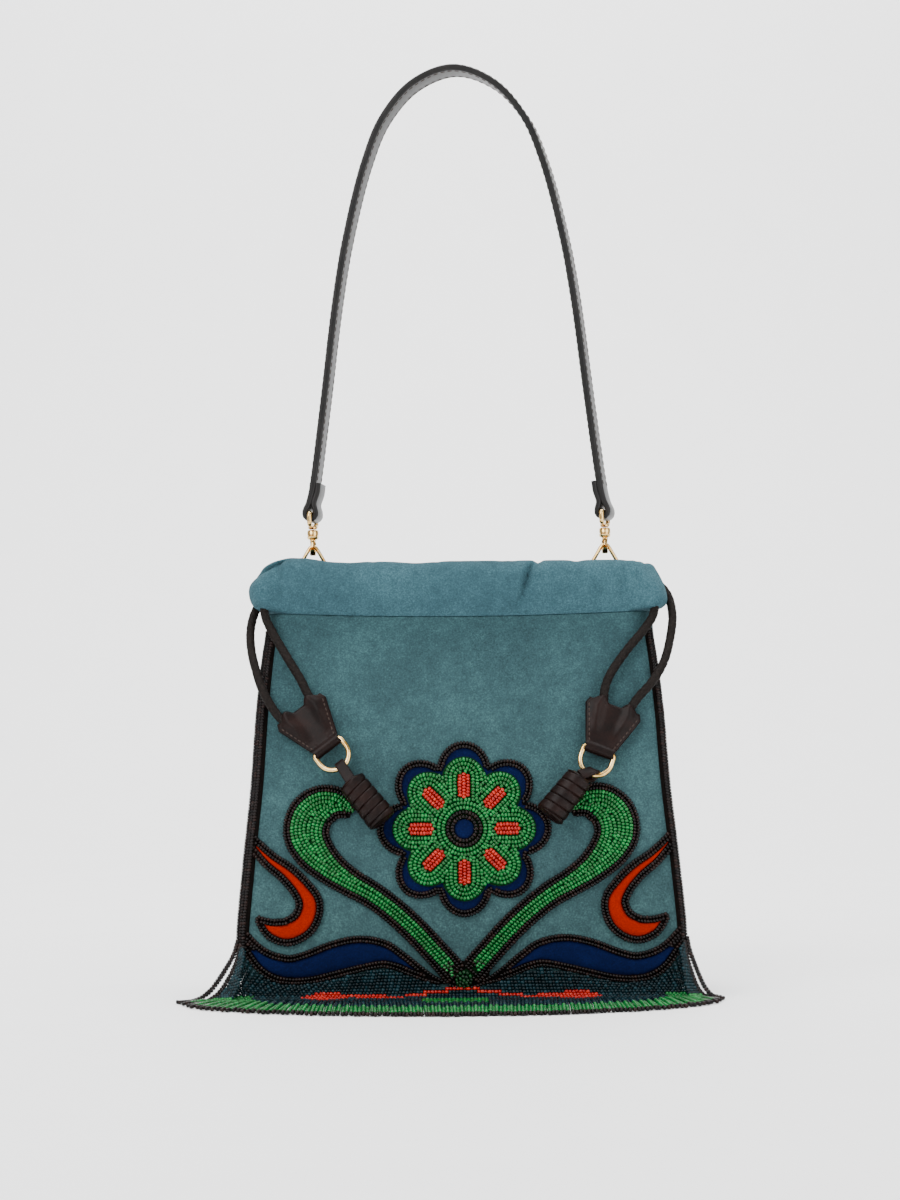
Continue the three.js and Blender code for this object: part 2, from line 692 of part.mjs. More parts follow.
// The strap, an arch extruded across its width
function strapSolid() {
  const right = ARCH_ROWS.map(({ z, half }) => new THREE.Vector2(half, z));
  const left = right.slice(0, -1).map((point) => new THREE.Vector2(-point.x, point.y));
  const arch = new THREE.SplineCurve([...left, ...right.reverse()]);
  const outer = [];
  const inner = [];
  for (let i = 0; i <= STRAP.steps; i++) {
    const point = arch.getPointAt(i / STRAP.steps);
    const tangent = arch.getTangentAt(i / STRAP.steps);
    outer.push([point.x - (tangent.y * STRAP.thick) / 2, point.y + (tangent.x * STRAP.thick) / 2]);
    inner.push([point.x + (tangent.y * STRAP.thick) / 2, point.y - (tangent.x * STRAP.thick) / 2]);
  }
  let strap = toSolid(extrude(polygon([...outer, ...inner.reverse()].reverse()), STRAP.width));
  for (const { sign } of SIDES) {
    const x = sign * ARCH_ROWS[0].half;
    const z = ARCH_ROWS[0].z;
    const loop = extrude(polygon(circlePoints(STRAP.loop, 16, x, z)), STRAP.width);
    const slope = (ARCH_ROWS[1].half - ARCH_ROWS[0].half) / (ARCH_ROWS[1].z - z);
    const finish = x + sign * (slope * STRAP.tail - STRAP.thick / 2);
    const tail = [
      [x - sign * STRAP.loop * STRAP.tailTaper, z],
      [x, z],
      [finish + (sign * STRAP.thick) / 4, z + STRAP.tail],
      [finish - (sign * STRAP.tailThick) / 2, z + STRAP.tail],
      [finish - sign * STRAP.tailThick, z + STRAP.tail * STRAP.tailTaper],
    ];
    if (sign > 0) tail.reverse();
    strap = strap.add(toSolid(loop)).add(toSolid(extrude(polygon(tail), STRAP.width)));
    strap = strap.subtract(toSolid(extrude(polygon(circlePoints(STRAP.hole, 10, x, z)), STRAP.width)));
  }
  const stand = new THREE.Matrix4().makeRotationX(Math.PI / 2);
  const lean = new THREE.Matrix4().makeShear(0, 0, STRAP.lean, 0, 0, 0);
  return toGeometry(strap).translate(0, 0, -STRAP.width / 2).applyMatrix4(stand).applyMatrix4(lean)
    .translate(0, STRAP.y, 0);
}
add("strap", strapSolid(), "strap");

// The snap hooks, each an eye, a claw and a gate, and the triangle rings in their leather tabs
function acrossPlate(points, thick) {
  const flat = extrude(polygon(points), thick).translate(0, 0, -thick / 2);
  return flat.rotateX(Math.PI / 2).rotateZ(Math.PI / 2);
}

function post(radius, low, high) {
  return new THREE.CylinderGeometry(radius, radius, high - low, 8).rotateX(Math.PI / 2)
    .translate(0, 0, (low + high) / 2);
}

function clawPoints(inner, outer, start, finish, steps) {
  const arc = (radius, from, to) => Array.from({ length: steps + 1 }, (_, i) => {
    const angle = THREE.MathUtils.degToRad(from + ((to - from) * i) / steps);
    return [radius * Math.cos(angle), HOOK.centre + radius * Math.sin(angle)];
  });
  return [...arc(inner, start, finish), ...arc(outer, finish, start)];
}

const pivotAngle = THREE.MathUtils.degToRad(GATE.angle);
const pivot = [GATE.radius * Math.cos(pivotAngle), HOOK.centre + GATE.radius * Math.sin(pivotAngle)];
const noseAngle = THREE.MathUtils.degToRad(GATE.nose);
const nose = [GATE.radius * Math.cos(noseAngle), HOOK.centre + GATE.radius * Math.sin(noseAngle)];

function eyeSolid() {
  const half = HOOK.eyeHalf;
  const corners = [
    [-half, HOOK.eyeTop, HOOK.bend],
    [half, HOOK.eyeTop, HOOK.bend],
    [half, HOOK.eyeShoulder, HOOK.bend],
    [HOOK.collar, HOOK.eyeFoot, HOOK.crease],
    [-HOOK.collar, HOOK.eyeFoot, HOOK.crease],
    [-half, HOOK.eyeShoulder, HOOK.bend],
  ];
  const across = new THREE.Vector3(0, 1, 0);
  const up = new THREE.Vector3(0, 0, 1);
  const loop = wireLoop(roundedLoop(corners, 2), new THREE.Vector3(), across, up, HOOK.wire, 5);
  const collar = post(HOOK.collar, HOOK.barrelTop + GAP, HOOK.eyeFoot + HOOK.wire / 2);
  const stem = post(HOOK.stem, HOOK.barrelFoot + 2 * HOOK.stem, HOOK.eyeFoot);
  const eye = toSolid(loop).add(toSolid(collar)).add(toSolid(stem));
  return toSolid(toGeometry(eye).rotateZ(-Math.atan(STRAP.lean)));
}

function clawSolid() {
  const hook = acrossPlate(clawPoints(HOOK.inner, HOOK.outer, GATE.lug, GATE.nose - 360, 14), HOOK.thick);
  const slot = acrossPlate(circlePoints(2 * GATE.head, 10, ...pivot), GATE.slot);
  const pin = acrossPlate(circlePoints(GATE.pin, 8, ...pivot), HOOK.thick);
  const bore = post(HOOK.stem + GAP, HOOK.barrelFoot + 2 * HOOK.stem - GAP, HOOK.barrelTop + GAP);
  const barrel = post(HOOK.barrel, HOOK.barrelFoot, HOOK.barrelTop);
  return toSolid(hook).add(toSolid(barrel)).subtract(toSolid(slot)).add(toSolid(pin)).subtract(toSolid(bore));
}

function gateSolid() {
  const way = new THREE.Vector2(nose[0] - pivot[0], nose[1] - pivot[1]).normalize();
  const side = new THREE.Vector2(-way.y, way.x).multiplyScalar(GATE.width / 2);
  const tip = [pivot[0] + GATE.length * way.x, pivot[1] + GATE.length * way.y];
  const bar = acrossPlate([
    [pivot[0] + side.x, pivot[1] + side.y],
    [tip[0] + side.x, tip[1] + side.y],
    [tip[0] - side.x, tip[1] - side.y],
    [pivot[0] - side.x, pivot[1] - side.y],
  ], GATE.thick);
  const head = acrossPlate(circlePoints(GATE.head, 10, ...pivot), GATE.thick);
  const bore = acrossPlate(circlePoints(GATE.pin + GAP, 8, ...pivot), 2 * GATE.thick);
  return toSolid(bar).add(toSolid(head)).subtract(toSolid(bore));
}

function triangleRing() {
  const corners = [
    [-TRIANGLE.half, TRIANGLE.foot, TRIANGLE.bend],
    [TRIANGLE.half, TRIANGLE.foot, TRIANGLE.bend],
    [0, TRIANGLE.peak, TRIANGLE.peakBend],
  ];
  const origin = new THREE.Vector3(0, TRIANGLE.y, 0);
  const across = new THREE.Vector3(1, 0, 0);
  const up = new THREE.Vector3(0, 0, 1);
  return wireLoop(roundedLoop(corners, 4), origin, across, up, TRIANGLE.wire, 5);
}

function ringTab() {
  const fold = TRIANGLE.wire + GAP + RING_TAB.skin;
  const y = TRIANGLE.y;
  const plate = acrossPlate([
    [y + fold - 2 * RING_TAB.skin, TRIANGLE.foot - RING_TAB.drop],
    [y + fold, TRIANGLE.foot - RING_TAB.drop],
    [y + fold, TRIANGLE.foot],
    [y + fold - 2 * RING_TAB.skin, TRIANGLE.foot],
  ], RING_TAB.width);
  const roll = acrossPlate(circlePoints(fold, 14, y, TRIANGLE.foot), RING_TAB.width);
  const bore = acrossPlate(circlePoints(TRIANGLE.wire + GAP, 10, y, TRIANGLE.foot), 2 * RING_TAB.width);
  return toSolid(plate).add(toSolid(roll)).subtract(toSolid(bore));
}

for (const { name, sign } of SIDES) {
  const x = sign * HOOK.x;
  const place = (solid, y) => toGeometry(solid).translate(x, y, 0);
  add(`hook_eye_${name}`, place(eyeSolid(), STRAP.y), "gold");
  add(`hook_claw_${name}`, place(clawSolid(), STRAP.y), "gold");
  add(`hook_gate_${name}`, place(gateSolid(), STRAP.y), "gold");
  add(`triangle_ring_${name}`, triangleRing().translate(x, 0, 0), "gold");
  add(`ring_tab_${name}`, place(ringTab(), 0), "leather");
}

// The beaded ropes along the two edges of the front
function ropeAt(z) {
  const row = sackRow(z);
  const reach = (row.frontRadius + ROPE.proud) * Math.SQRT1_2;
  return { x: row.half - row.frontRadius + reach, y: -row.front + row.frontRadius - reach };
}

function ropeCurve(sign) {
  const points = [];
  for (let i = 0; i < ROPE.levels; i++) {
    const z = THREE.MathUtils.lerp(ROPE.top, ROPE.foot, i / (ROPE.levels - 1));
    const { x, y } = ropeAt(z);
    points.push(new THREE.Vector3(sign * x, y, z));
  }
  return new THREE.CatmullRomCurve3(points);
}
for (const { name, sign } of SIDES) {
  add(`edge_rope_${name}`, tube(ropeCurve(sign), ROPE.radius, 6, ROPE.levels + 3), "brown");
}

// Applique and beadwork: an outline cut out of a layer that follows the front
function layer([low, high]) {
  return sackBlock(high).subtract(sackBlock(low));
}

function onLayer(points, heights) {
  const prism = extrude(polygon(points), LAYER.reach).rotateX(Math.PI / 2).translate(0, LAYER.start, 0);
  return toSolid(prism).intersect(layer(heights));
}

function bandOutline(rows, sign) {
  const line = new THREE.SplineCurve(rows.map(({ x, z }) => new THREE.Vector2(x, z)));
  const halves = new THREE.SplineCurve(rows.map(({ half }, i) => new THREE.Vector2(i, half)));
  const edges = { upper: [], lower: [] };
  for (let i = 0; i <= BAND_STEPS; i++) {
    const share = i / BAND_STEPS;
    const point = line.getPoint(share);
    const tangent = line.getTangent(share);
    const half = halves.getPoint(share).y;
    const inside = (x, z) => [sign * Math.min(x, ropeAt(z).x - ROPE.radius - GAP), z];
    edges.upper.push(inside(point.x - tangent.y * half, point.y + tangent.x * half));
    edges.lower.push(inside(point.x + tangent.y * half, point.y - tangent.x * half));
  }
  return [...edges.upper, ...edges.lower.reverse()];
}

function flowerOutline(tip, valley) {
  const steps = FLOWER.lobes * 6;
  return Array.from({ length: steps }, (_, i) => {
    const angle = (2 * Math.PI * i) / steps;
    const radius = valley + (tip - valley) * Math.abs(Math.cos((FLOWER.lobes / 2) * angle)) ** FLOWER.round;
    return [FLOWER.x + radius * Math.cos(angle), FLOWER.z + radius * Math.sin(angle)];
  });
}

add("flower_ground", onLayer(flowerOutline(FLOWER.tip, FLOWER.valley), LAYER.patch), "navy");
add("flower_petals", onLayer(flowerOutline(FLOWER.petalTip, FLOWER.petalValley), LAYER.petals), "green");
add("stem_knot", onLayer(circlePoints(KNOT.radius, 12, KNOT.x, KNOT.z), LAYER.knot), "green");
for (const { name, sign } of SIDES) {
  add(`scroll_${name}`, onLayer(bandOutline(SCROLL_ROWS, sign), LAYER.beads), "green");
  add(`crescent_${name}`, onLayer(bandOutline(CRESCENT_ROWS, sign), LAYER.patch), "orange");
  add(`leaf_${name}`, onLayer(bandOutline(LEAF_ROWS, sign), LAYER.patch), "navy");
}

// The fringe: locks that hang from a head under the leaves and then lie out on the floor
function fringeStart(x) {
  return rowAt(FRINGE_STARTS, "x", Math.abs(x)).z;
}

function lockSection(centre, across, thick, half) {
  const corners = [[-1, -1], [1, -1], [0.75, 1], [-0.75, 1]];
  return corners.map(([a, b]) =>
    centre.clone().addScaledVector(across, a * half).addScaledVector(thick, b * FRINGE.half));
}

function lockEnd(share) {
  const fanned = (FRINGE.arcHalf - FRINGE.halfSpan) * share * Math.abs(share) ** FRINGE.fan;
  const x = FRINGE.halfSpan * share + fanned;
  const y = FRINGE.arcY - FRINGE.arcReach * Math.sqrt(Math.max(0, 1 - (x / FRINGE.arcHalf) ** 2));
  return new THREE.Vector3(x, y, FRINGE.half);
}

function lock(share) {
  const x = FRINGE.halfSpan * share;
  const startZ = fringeStart(x);
  const face = frontY(x, startZ) - 2 * GAP - FRINGE.half;
  const bend = new THREE.Vector3(x, face - FRINGE.bend, FRINGE.half);
  const end = lockEnd(share);
  const way = end.clone().sub(bend).normalize();
  const flatAcross = new THREE.Vector3(-way.y, way.x, 0);
  const sideways = new THREE.Vector3(1, 0, 0);
  const half = (FRINGE.fill * FRINGE.halfSpan) / FRINGE.locks;
  const spread = lockEnd(share - 1 / FRINGE.locks).distanceTo(lockEnd(share + 1 / FRINGE.locks));
  const endHalf = (FRINGE.fill * spread) / 2;
  const up = new THREE.Vector3(0, 0, 1);
  const forward = new THREE.Vector3(0, -1, 0);
  const slope = new THREE.Vector3(0, -1, 1).normalize();
  const rings = [];
  rings.push(lockSection(new THREE.Vector3(x, face, startZ), sideways, forward, half));
  rings.push(lockSection(new THREE.Vector3(x, face - GAP, FRINGE.drop), sideways, forward, half));
  const knee = new THREE.Vector3(x, face - FRINGE.bend * FRINGE.knee, FRINGE.half + FRINGE.kneeLift);
  rings.push(lockSection(knee, sideways, slope, half));
  const steps = 3;
  for (let i = 0; i <= steps; i++) {
    const run = i / steps;
    const turn = sideways.clone().lerp(flatAcross, Math.min(1, 2 * run)).normalize();
    rings.push(lockSection(bend.clone().lerp(end, run), turn, up, THREE.MathUtils.lerp(half, endHalf, run)));
  }
  return toSolid(loft(rings));
}

function fringeHead() {
  const steps = 18;
  const rings = [];
  for (let i = 0; i <= steps; i++) {
    const x = FRINGE.halfSpan * ((2 * i) / steps - 1);
    const z = fringeStart(x);
    const y = frontY(x, z) - 2 * GAP;
    const deep = 2 * FRINGE.half;
    const top = 2 * GAP;
    const corners = [[0, top], [-deep, top], [-deep, -FRINGE.headTall], [0, -FRINGE.headTall]];
    rings.push(corners.map(([dy, dz]) => new THREE.Vector3(x, y + dy, z + dz)));
  }
  return toSolid(loft(rings));
}

let fringe = fringeHead();
for (let i = 0; i < FRINGE.locks; i++) {
  fringe = fringe.add(lock((2 * (i + 0.5)) / FRINGE.locks - 1));
}
add("bead_fringe", fringe, "teal");

// The origin is on the floor under the middle of the whole piece.
const extent = new THREE.Box3().setFromObject(bag);
bag.position.y = -(extent.min.y + extent.max.y) / 2;

export default bag;
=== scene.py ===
# %% [markdown]
# # A suede bucket bag with beadwork
# A small drawstring bag stands on a pale floor with its bead fringe spread in front of it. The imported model
# gives the size and place of every piece. This lesson dresses it: suede, leather, cord, gilt metal and some
# ten thousand glass beads. All sizes are millimetres about the middle of the bag's own footprint, with the
# front towards -Y, and one function turns them into metres in the frame.

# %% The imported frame
import json
import math

import bmesh
import bpy
import numpy as np
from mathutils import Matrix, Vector
from mathutils.bvhtree import BVHTree


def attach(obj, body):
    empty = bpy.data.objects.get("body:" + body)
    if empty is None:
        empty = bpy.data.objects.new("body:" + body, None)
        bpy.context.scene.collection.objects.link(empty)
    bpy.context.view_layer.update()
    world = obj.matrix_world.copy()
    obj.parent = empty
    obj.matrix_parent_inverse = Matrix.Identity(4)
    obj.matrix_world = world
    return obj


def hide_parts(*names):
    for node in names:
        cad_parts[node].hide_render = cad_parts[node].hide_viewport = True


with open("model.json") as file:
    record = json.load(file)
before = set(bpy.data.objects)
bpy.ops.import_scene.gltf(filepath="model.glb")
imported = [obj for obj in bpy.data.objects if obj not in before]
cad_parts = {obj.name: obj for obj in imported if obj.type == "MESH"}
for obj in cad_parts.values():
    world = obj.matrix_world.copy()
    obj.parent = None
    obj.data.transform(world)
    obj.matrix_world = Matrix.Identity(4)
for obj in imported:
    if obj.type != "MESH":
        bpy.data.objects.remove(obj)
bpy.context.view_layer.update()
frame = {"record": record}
MM = 0.001
MIDDLE = np.array([0.0, frame["record"]["mounts"][0]["pos_m"][1] / MM, 0.0])
SIDES = {"left": -1, "right": 1}


def metres(points):
    """Places in millimetres about the bag's middle, as metres in the frame."""
    return (np.asarray(points, dtype=float) + MIDDLE) * MM


# %% [markdown]
# ## The camera
# The view is level and nearly straight on, from about 1.2 m. The horizon lies below the middle of the
# picture, so the lens is shifted up a little instead of being tilted, which keeps the upright lines
# upright. The picture leans half a degree, so the camera is rolled by that much.

# %% Camera
FRONT_PLANE = -38.6
CAMERA_DISTANCE = 1170.0
CAMERA_X = -4.9
CAMERA_HEIGHT = 133.0
CAMERA_ROLL = math.radians(0.47)
PICTURE_TALL = 552.0
SENSOR = 36.0
HORIZON_BELOW_CENTRE = 0.0925

lens = bpy.data.cameras.new("camera")
lens.sensor_width = SENSOR
lens.lens = SENSOR * CAMERA_DISTANCE / PICTURE_TALL
lens.shift_y = HORIZON_BELOW_CENTRE
lens.clip_end = 20.0
camera = bpy.data.objects.new("camera", lens)
camera.location = metres([CAMERA_X, FRONT_PLANE - CAMERA_DISTANCE, CAMERA_HEIGHT])
camera.rotation_euler = (math.pi / 2, CAMERA_ROLL, 0.0)
bpy.context.collection.objects.link(camera)
bpy.context.scene.camera = camera
print("camera at", tuple(camera.location), "lens", lens.lens)

# %% [markdown]
# ## Helpers for materials
# Every finish is a small node tree. One function adds a node with its settings, values and links, and one
# turns an sRGB hex colour into the linear values that the shader wants.


# %% Node and colour helpers
def linear(code):
    """A linear RGBA colour from an sRGB hex code such as 4F7A85."""
    parts = [int(code[i:i + 2], 16) / 255 for i in (0, 2, 4)]
    return [p / 12.92 if p <= 0.04045 else ((p + 0.055) / 1.055) ** 2.4 for p in parts] + [1.0]


def add_node(tree, kind, settings=None, inputs=None, stops=()):
    """Adds one node: its properties, its inputs, set or linked, and a ramp's (place, colour) stops."""
    node = tree.nodes.new(kind)
    for name, value in (settings or {}).items():
        setattr(node, name, value)
    for name, value in (inputs or {}).items():
        if isinstance(value, bpy.types.NodeSocket):
            tree.links.new(value, node.inputs[name])
        else:
            node.inputs[name].default_value = value
    for _ in stops[2:]:
        node.color_ramp.elements.new(0.5)
    for i, (place, code) in enumerate(stops):
        node.color_ramp.elements[i].position = place
        node.color_ramp.elements[i].color = linear(code)
    return node


def new_material(name, values):
    """A material with a Principled shader whose constant sockets are set, and its node tree."""
    material = bpy.data.materials.new(name)
    material.use_nodes = True
    shader = material.node_tree.nodes["Principled BSDF"]
    for socket, value in values.items():
        shader.inputs[socket].default_value = value
    return material, material.node_tree, shader


def per_metre(size_mm):
    """The texture scale that gives a pattern of this size."""
    return 1 / (size_mm * MM)


print("mid grey in linear light:", round(linear("808080")[0], 3))

# %% [markdown]
# ## Suede
# Suede is hide with its flesh side brushed into a nap. The nap scatters light, so it is almost matt, with a
# soft bright rim. Brushing leaves patches where the nap lies another way and looks paler or deeper. Three
# noises make this: wide patches, smaller smudges, and the grain of the fibres. Real fibres are finer than a
# pixel, so the grain is drawn at just under 1 mm. Towards the top a second, bluer colour is multiplied into
# the teal hide: painted shade, which leaves the top darker and bluer and the foot lighter and warmer, as the
# light falls. The casing has its own copy of the suede, a little lighter and bluer: painted light on its
# upturned face.


# %% Suede materials
# The level in mm at which the painted shade at the top reaches its full depth.
TOP_SHADE_LEVEL = 170.0
NAP = {"patches": 38, "smudges": 6, "grain": 0.75}


def suede(name, deep, middle, pale, top_shade, sheen):
    material, tree, shader = new_material(name, {
        "Roughness": 0.95, "Specular IOR Level": 2 * sheen, "Sheen Weight": sheen, "Sheen Roughness": 0.4,
        "Sheen Tint": linear(pale),
    })
    place = add_node(tree, "ShaderNodeTexCoord").outputs["Object"]
    patches = add_node(tree, "ShaderNodeTexNoise", inputs={
        "Vector": place, "Scale": per_metre(NAP["patches"]), "Detail": 2.0, "Roughness": 0.5})
    smudges = add_node(tree, "ShaderNodeTexNoise", inputs={
        "Vector": place, "Scale": per_metre(NAP["smudges"]), "Detail": 4.0, "Roughness": 0.62})
    grain = add_node(tree, "ShaderNodeTexNoise", inputs={
        "Vector": place, "Scale": per_metre(NAP["grain"]), "Detail": 3.0, "Roughness": 0.7})
    wide = add_node(tree, "ShaderNodeMix", {"data_type": "FLOAT"}, {
        0: 0.5, 2: patches.outputs["Fac"], 3: smudges.outputs["Fac"]})
    mixed = add_node(tree, "ShaderNodeMix", {"data_type": "FLOAT"}, {
        0: 0.56, 2: wide.outputs[0], 3: grain.outputs["Fac"]})
    tint = add_node(tree, "ShaderNodeValToRGB", inputs={"Fac": mixed.outputs[0]},
                    stops=[(0.36, deep), (0.5, middle), (0.64, pale)])
    # Painted shade: from the foot upwards the colour is multiplied more and more by a second, darker and
    # bluer colour.
    level = add_node(tree, "ShaderNodeSeparateXYZ", inputs={"Vector": place})
    high = add_node(tree, "ShaderNodeMapRange", inputs={
        "Value": level.outputs["Z"], "From Max": TOP_SHADE_LEVEL * MM})
    shaded_top = add_node(tree, "ShaderNodeMix", {"data_type": "RGBA", "blend_type": "MULTIPLY"}, {
        0: high.outputs["Result"], 6: tint.outputs["Color"], 7: linear(top_shade)})
    bump = add_node(tree, "ShaderNodeBump", inputs={
        "Strength": 0.35, "Distance": 0.35 * MM, "Height": grain.outputs["Fac"]})
    tree.links.new(shaded_top.outputs[2], shader.inputs["Base Color"])
    tree.links.new(bump.outputs["Normal"], shader.inputs["Normal"])
    return material


# E5EDF4 is the painted shade multiplied into the teal towards its top.
TEAL_SUEDE = suede("brushed_teal_suede", "223537", "2D4547", "3E5C5C", "E5EDF4", 0.07)
# The casing's copy of the suede is a little lighter and bluer: painted light on its upturned face.
LIT_CASING_SUEDE = suede("teal_casing_suede_painted_light", "243C43", "2F4B53", "3F6068", "FFFFFF", 0.07)
NAVY_SUEDE = suede("brushed_navy_suede", "060B23", "080F2E", "0B1539", "FFFFFF", 0.02)
ORANGE_SUEDE = suede("brushed_orange_suede", "6E0D01", "7E1201", "8B1903", "FFFFFF", 0.0)
print("suede:", [hide.name for hide in (TEAL_SUEDE, LIT_CASING_SUEDE, NAVY_SUEDE, ORANGE_SUEDE)])

# %% [markdown]
# ## Leather, cord and thread
# The strap, the tabs and the barrels are smooth waxed leather, nearly black, with a fine pebble that breaks
# up the highlight. The drawcords are braided from waxed cotton. The stitches are a waxed thread, which is
# drawn a little paler than the leather so that it shows.


# %% Leather, cord and thread materials
LEATHER_GRAIN = {"rubbed": 9, "pebble": 0.9, "creases": 2.6}


def leather(name, deep, pale, roughness, gloss):
    material, tree, shader = new_material(name, {"Roughness": roughness, "Specular IOR Level": gloss})
    place = add_node(tree, "ShaderNodeTexCoord").outputs["Object"]
    rubbed = add_node(tree, "ShaderNodeTexNoise", inputs={
        "Vector": place, "Scale": per_metre(LEATHER_GRAIN["rubbed"]), "Detail": 4.0, "Roughness": 0.6})
    pebble = add_node(tree, "ShaderNodeTexVoronoi", {"feature": "SMOOTH_F1"}, {
        "Vector": place, "Scale": per_metre(LEATHER_GRAIN["pebble"]), "Smoothness": 0.6})
    creases = add_node(tree, "ShaderNodeTexNoise", inputs={
        "Vector": place, "Scale": per_metre(LEATHER_GRAIN["creases"]), "Detail": 5.0, "Roughness": 0.65})
    height = add_node(tree, "ShaderNodeMix", {"data_type": "FLOAT"}, {
        0: 0.55, 2: pebble.outputs["Distance"], 3: creases.outputs["Fac"]})
    bump = add_node(tree, "ShaderNodeBump", inputs={
        "Strength": 0.3, "Distance": 0.25 * MM, "Height": height.outputs[0]})
    tint = add_node(tree, "ShaderNodeValToRGB", inputs={"Fac": rubbed.outputs["Fac"]},
                    stops=[(0.35, deep), (0.7, pale)])
    tree.links.new(tint.outputs["Color"], shader.inputs["Base Color"])
    tree.links.new(bump.outputs["Normal"], shader.inputs["Normal"])
    return material


def fibre(name, deep, pale, size_mm, sheen, gloss):
    material, tree, shader = new_material(name, {
        "Roughness": 0.72, "Specular IOR Level": gloss, "Sheen Weight": sheen, "Sheen Tint": linear(pale)})
    place = add_node(tree, "ShaderNodeTexCoord").outputs["Object"]
    strands = add_node(tree, "ShaderNodeTexNoise", inputs={
        "Vector": place, "Scale": per_metre(size_mm), "Detail": 3.0, "Roughness": 0.6})
    bump = add_node(tree, "ShaderNodeBump", inputs={
        "Strength": 0.3, "Distance": 0.2 * MM, "Height": strands.outputs["Fac"]})
    tint = add_node(tree, "ShaderNodeValToRGB", inputs={"Fac": strands.outputs["Fac"]},
                    stops=[(0.3, deep), (0.75, pale)])
    tree.links.new(tint.outputs["Color"], shader.inputs["Base Color"])
    tree.links.new(bump.outputs["Normal"], shader.inputs["Normal"])
    return material


BROWN_LEATHER = leather("waxed_brown_leather", "0C0605", "1B0E0B", 0.42, 0.1)
BLACK_LEATHER = leather("waxed_black_leather", "0A0909", "171514", 0.4, 0.22)
COTTON_CORD = fibre("waxed_cotton_cord", "0A0807", "1D1714", 0.8, 0.02, 0.1)
THREAD = fibre("waxed_thread", "221A17", "40342D", 0.5, 0.05, 0.2)
# A dark green sheet under the green beads: painted shade for the shadowed gaps between them.
GREEN_SHADE_FELT = fibre("green_painted_shade_backing", "031A0A", "063012", 0.8, 0.0, 0.05)
DARK_FELT = fibre("dark_felt_backing", "060403", "0F0A08", 0.8, 0.0, 0.05)
print("leather and fibre:", [BROWN_LEATHER.name, BLACK_LEATHER.name, COTTON_CORD.name, THREAD.name])

# %% [markdown]
# ## Metal and glass
# The rings and hooks are light gold plate over cast zinc: a full metal with a low, slightly uneven
# roughness. The beads are opaque pressed glass, size 11/0, about 2 mm across. A number from 0 to 1 is
# stored on each bead as it is made, and the material reads it, so that no two neighbours are quite the same
# colour.


# %% Metal and glass materials
POLISH = 3


def gold_plate():
    material, tree, shader = new_material("gold_plated_zinc", {"Metallic": 1.0})
    place = add_node(tree, "ShaderNodeTexCoord").outputs["Object"]
    polish = add_node(tree, "ShaderNodeTexNoise", inputs={
        "Vector": place, "Scale": per_metre(POLISH), "Detail": 3.0, "Roughness": 0.6})
    spread = add_node(tree, "ShaderNodeMapRange", inputs={
        "Value": polish.outputs["Fac"], "To Min": 0.1, "To Max": 0.24})
    tint = add_node(tree, "ShaderNodeValToRGB", inputs={"Fac": polish.outputs["Fac"]},
                    stops=[(0.3, "C4964C"), (0.7, "EACC90")])
    tree.links.new(tint.outputs["Color"], shader.inputs["Base Color"])
    tree.links.new(spread.outputs["Result"], shader.inputs["Roughness"])
    return material


def bead_glass(name, deep, middle, pale, gloss):
    material, tree, shader = new_material(name, {
        "Roughness": 0.18, "IOR": 1.52, "Specular IOR Level": gloss})
    tone = add_node(tree, "ShaderNodeAttribute", {"attribute_name": "tone"})
    tint = add_node(tree, "ShaderNodeValToRGB", inputs={"Fac": tone.outputs["Fac"]},
                    stops=[(0.0, deep), (0.55, middle), (1.0, pale)])
    tree.links.new(tint.outputs["Color"], shader.inputs["Base Color"])
    return material


GOLD = gold_plate()
GREEN_GLASS = bead_glass("green_bead_glass", "034516", "085922", "157133", 0.3)
# A darker copy of the green glass for the knot: painted shade at the foot of the stems.
SHADED_GREEN_GLASS = bead_glass("shaded_green_bead_glass", "04190A", "072A12", "0E3C1B", 0.16)
RED_GLASS = bead_glass("red_bead_glass", "820B06", "96130D", "AC281C", 0.25)
BROWN_GLASS = bead_glass("dark_brown_bead_glass", "060303", "0D0706", "1E110E", 0.14)
TEAL_GLASS = bead_glass("dark_teal_bead_glass", "030F12", "071B20", "112C33", 0.14)
print("materials:", len(bpy.data.materials))

# %% [markdown]
# ## Helpers for shapes
# Most pieces are skins: rings of points joined by faces. A path is a smooth line through a few chosen
# points, and a sweep carries a ring along it without twisting. The mesh is cleaned, its faces are turned
# outwards, and the piece is tied to a body of the frame.


# %% Lines
CURVE_STEPS = 24


def unit(way):
    return np.asarray(way, dtype=float) / np.linalg.norm(way)


def smooth_line(points, spacing):
    """Points at an even spacing on a centripetal Catmull-Rom curve."""
    knots = np.asarray(points, dtype=float)
    ends = np.vstack([2 * knots[0] - knots[1], knots, 2 * knots[-1] - knots[-2]])
    dense = []
    for a, b, c, d in zip(ends[:-3], ends[1:-2], ends[2:-1], ends[3:]):
        ab, bc, cd = (np.linalg.norm(q - p) ** 0.5 for p, q in ((a, b), (b, c), (c, d)))
        leave = ((b - a) / ab - (c - a) / (ab + bc) + (c - b) / bc) * bc
        reach = ((c - b) / bc - (d - b) / (bc + cd) + (d - c) / cd) * bc
        t = np.linspace(0, 1, CURVE_STEPS, endpoint=False)[:, None]
        dense.append((2 * t**3 - 3 * t**2 + 1) * b + (t**3 - 2 * t**2 + t) * leave
                     + (3 * t**2 - 2 * t**3) * c + (t**3 - t**2) * reach)
    return evenly(np.vstack(dense + [knots[-1:]]), spacing)


def evenly(line, spacing):
    """The same line with its points at an even spacing, its ends kept."""
    steps = np.linalg.norm(np.diff(line, axis=0), axis=1)
    along = np.concatenate([[0.0], np.cumsum(steps)])
    count = max(2, int(round(along[-1] / spacing)) + 1)
    wanted = np.linspace(0, along[-1], count)
    return np.stack([np.interp(wanted, along, column) for column in line.T], axis=1)


def line_length(line):
    return float(np.linalg.norm(np.diff(line, axis=0), axis=1).sum())


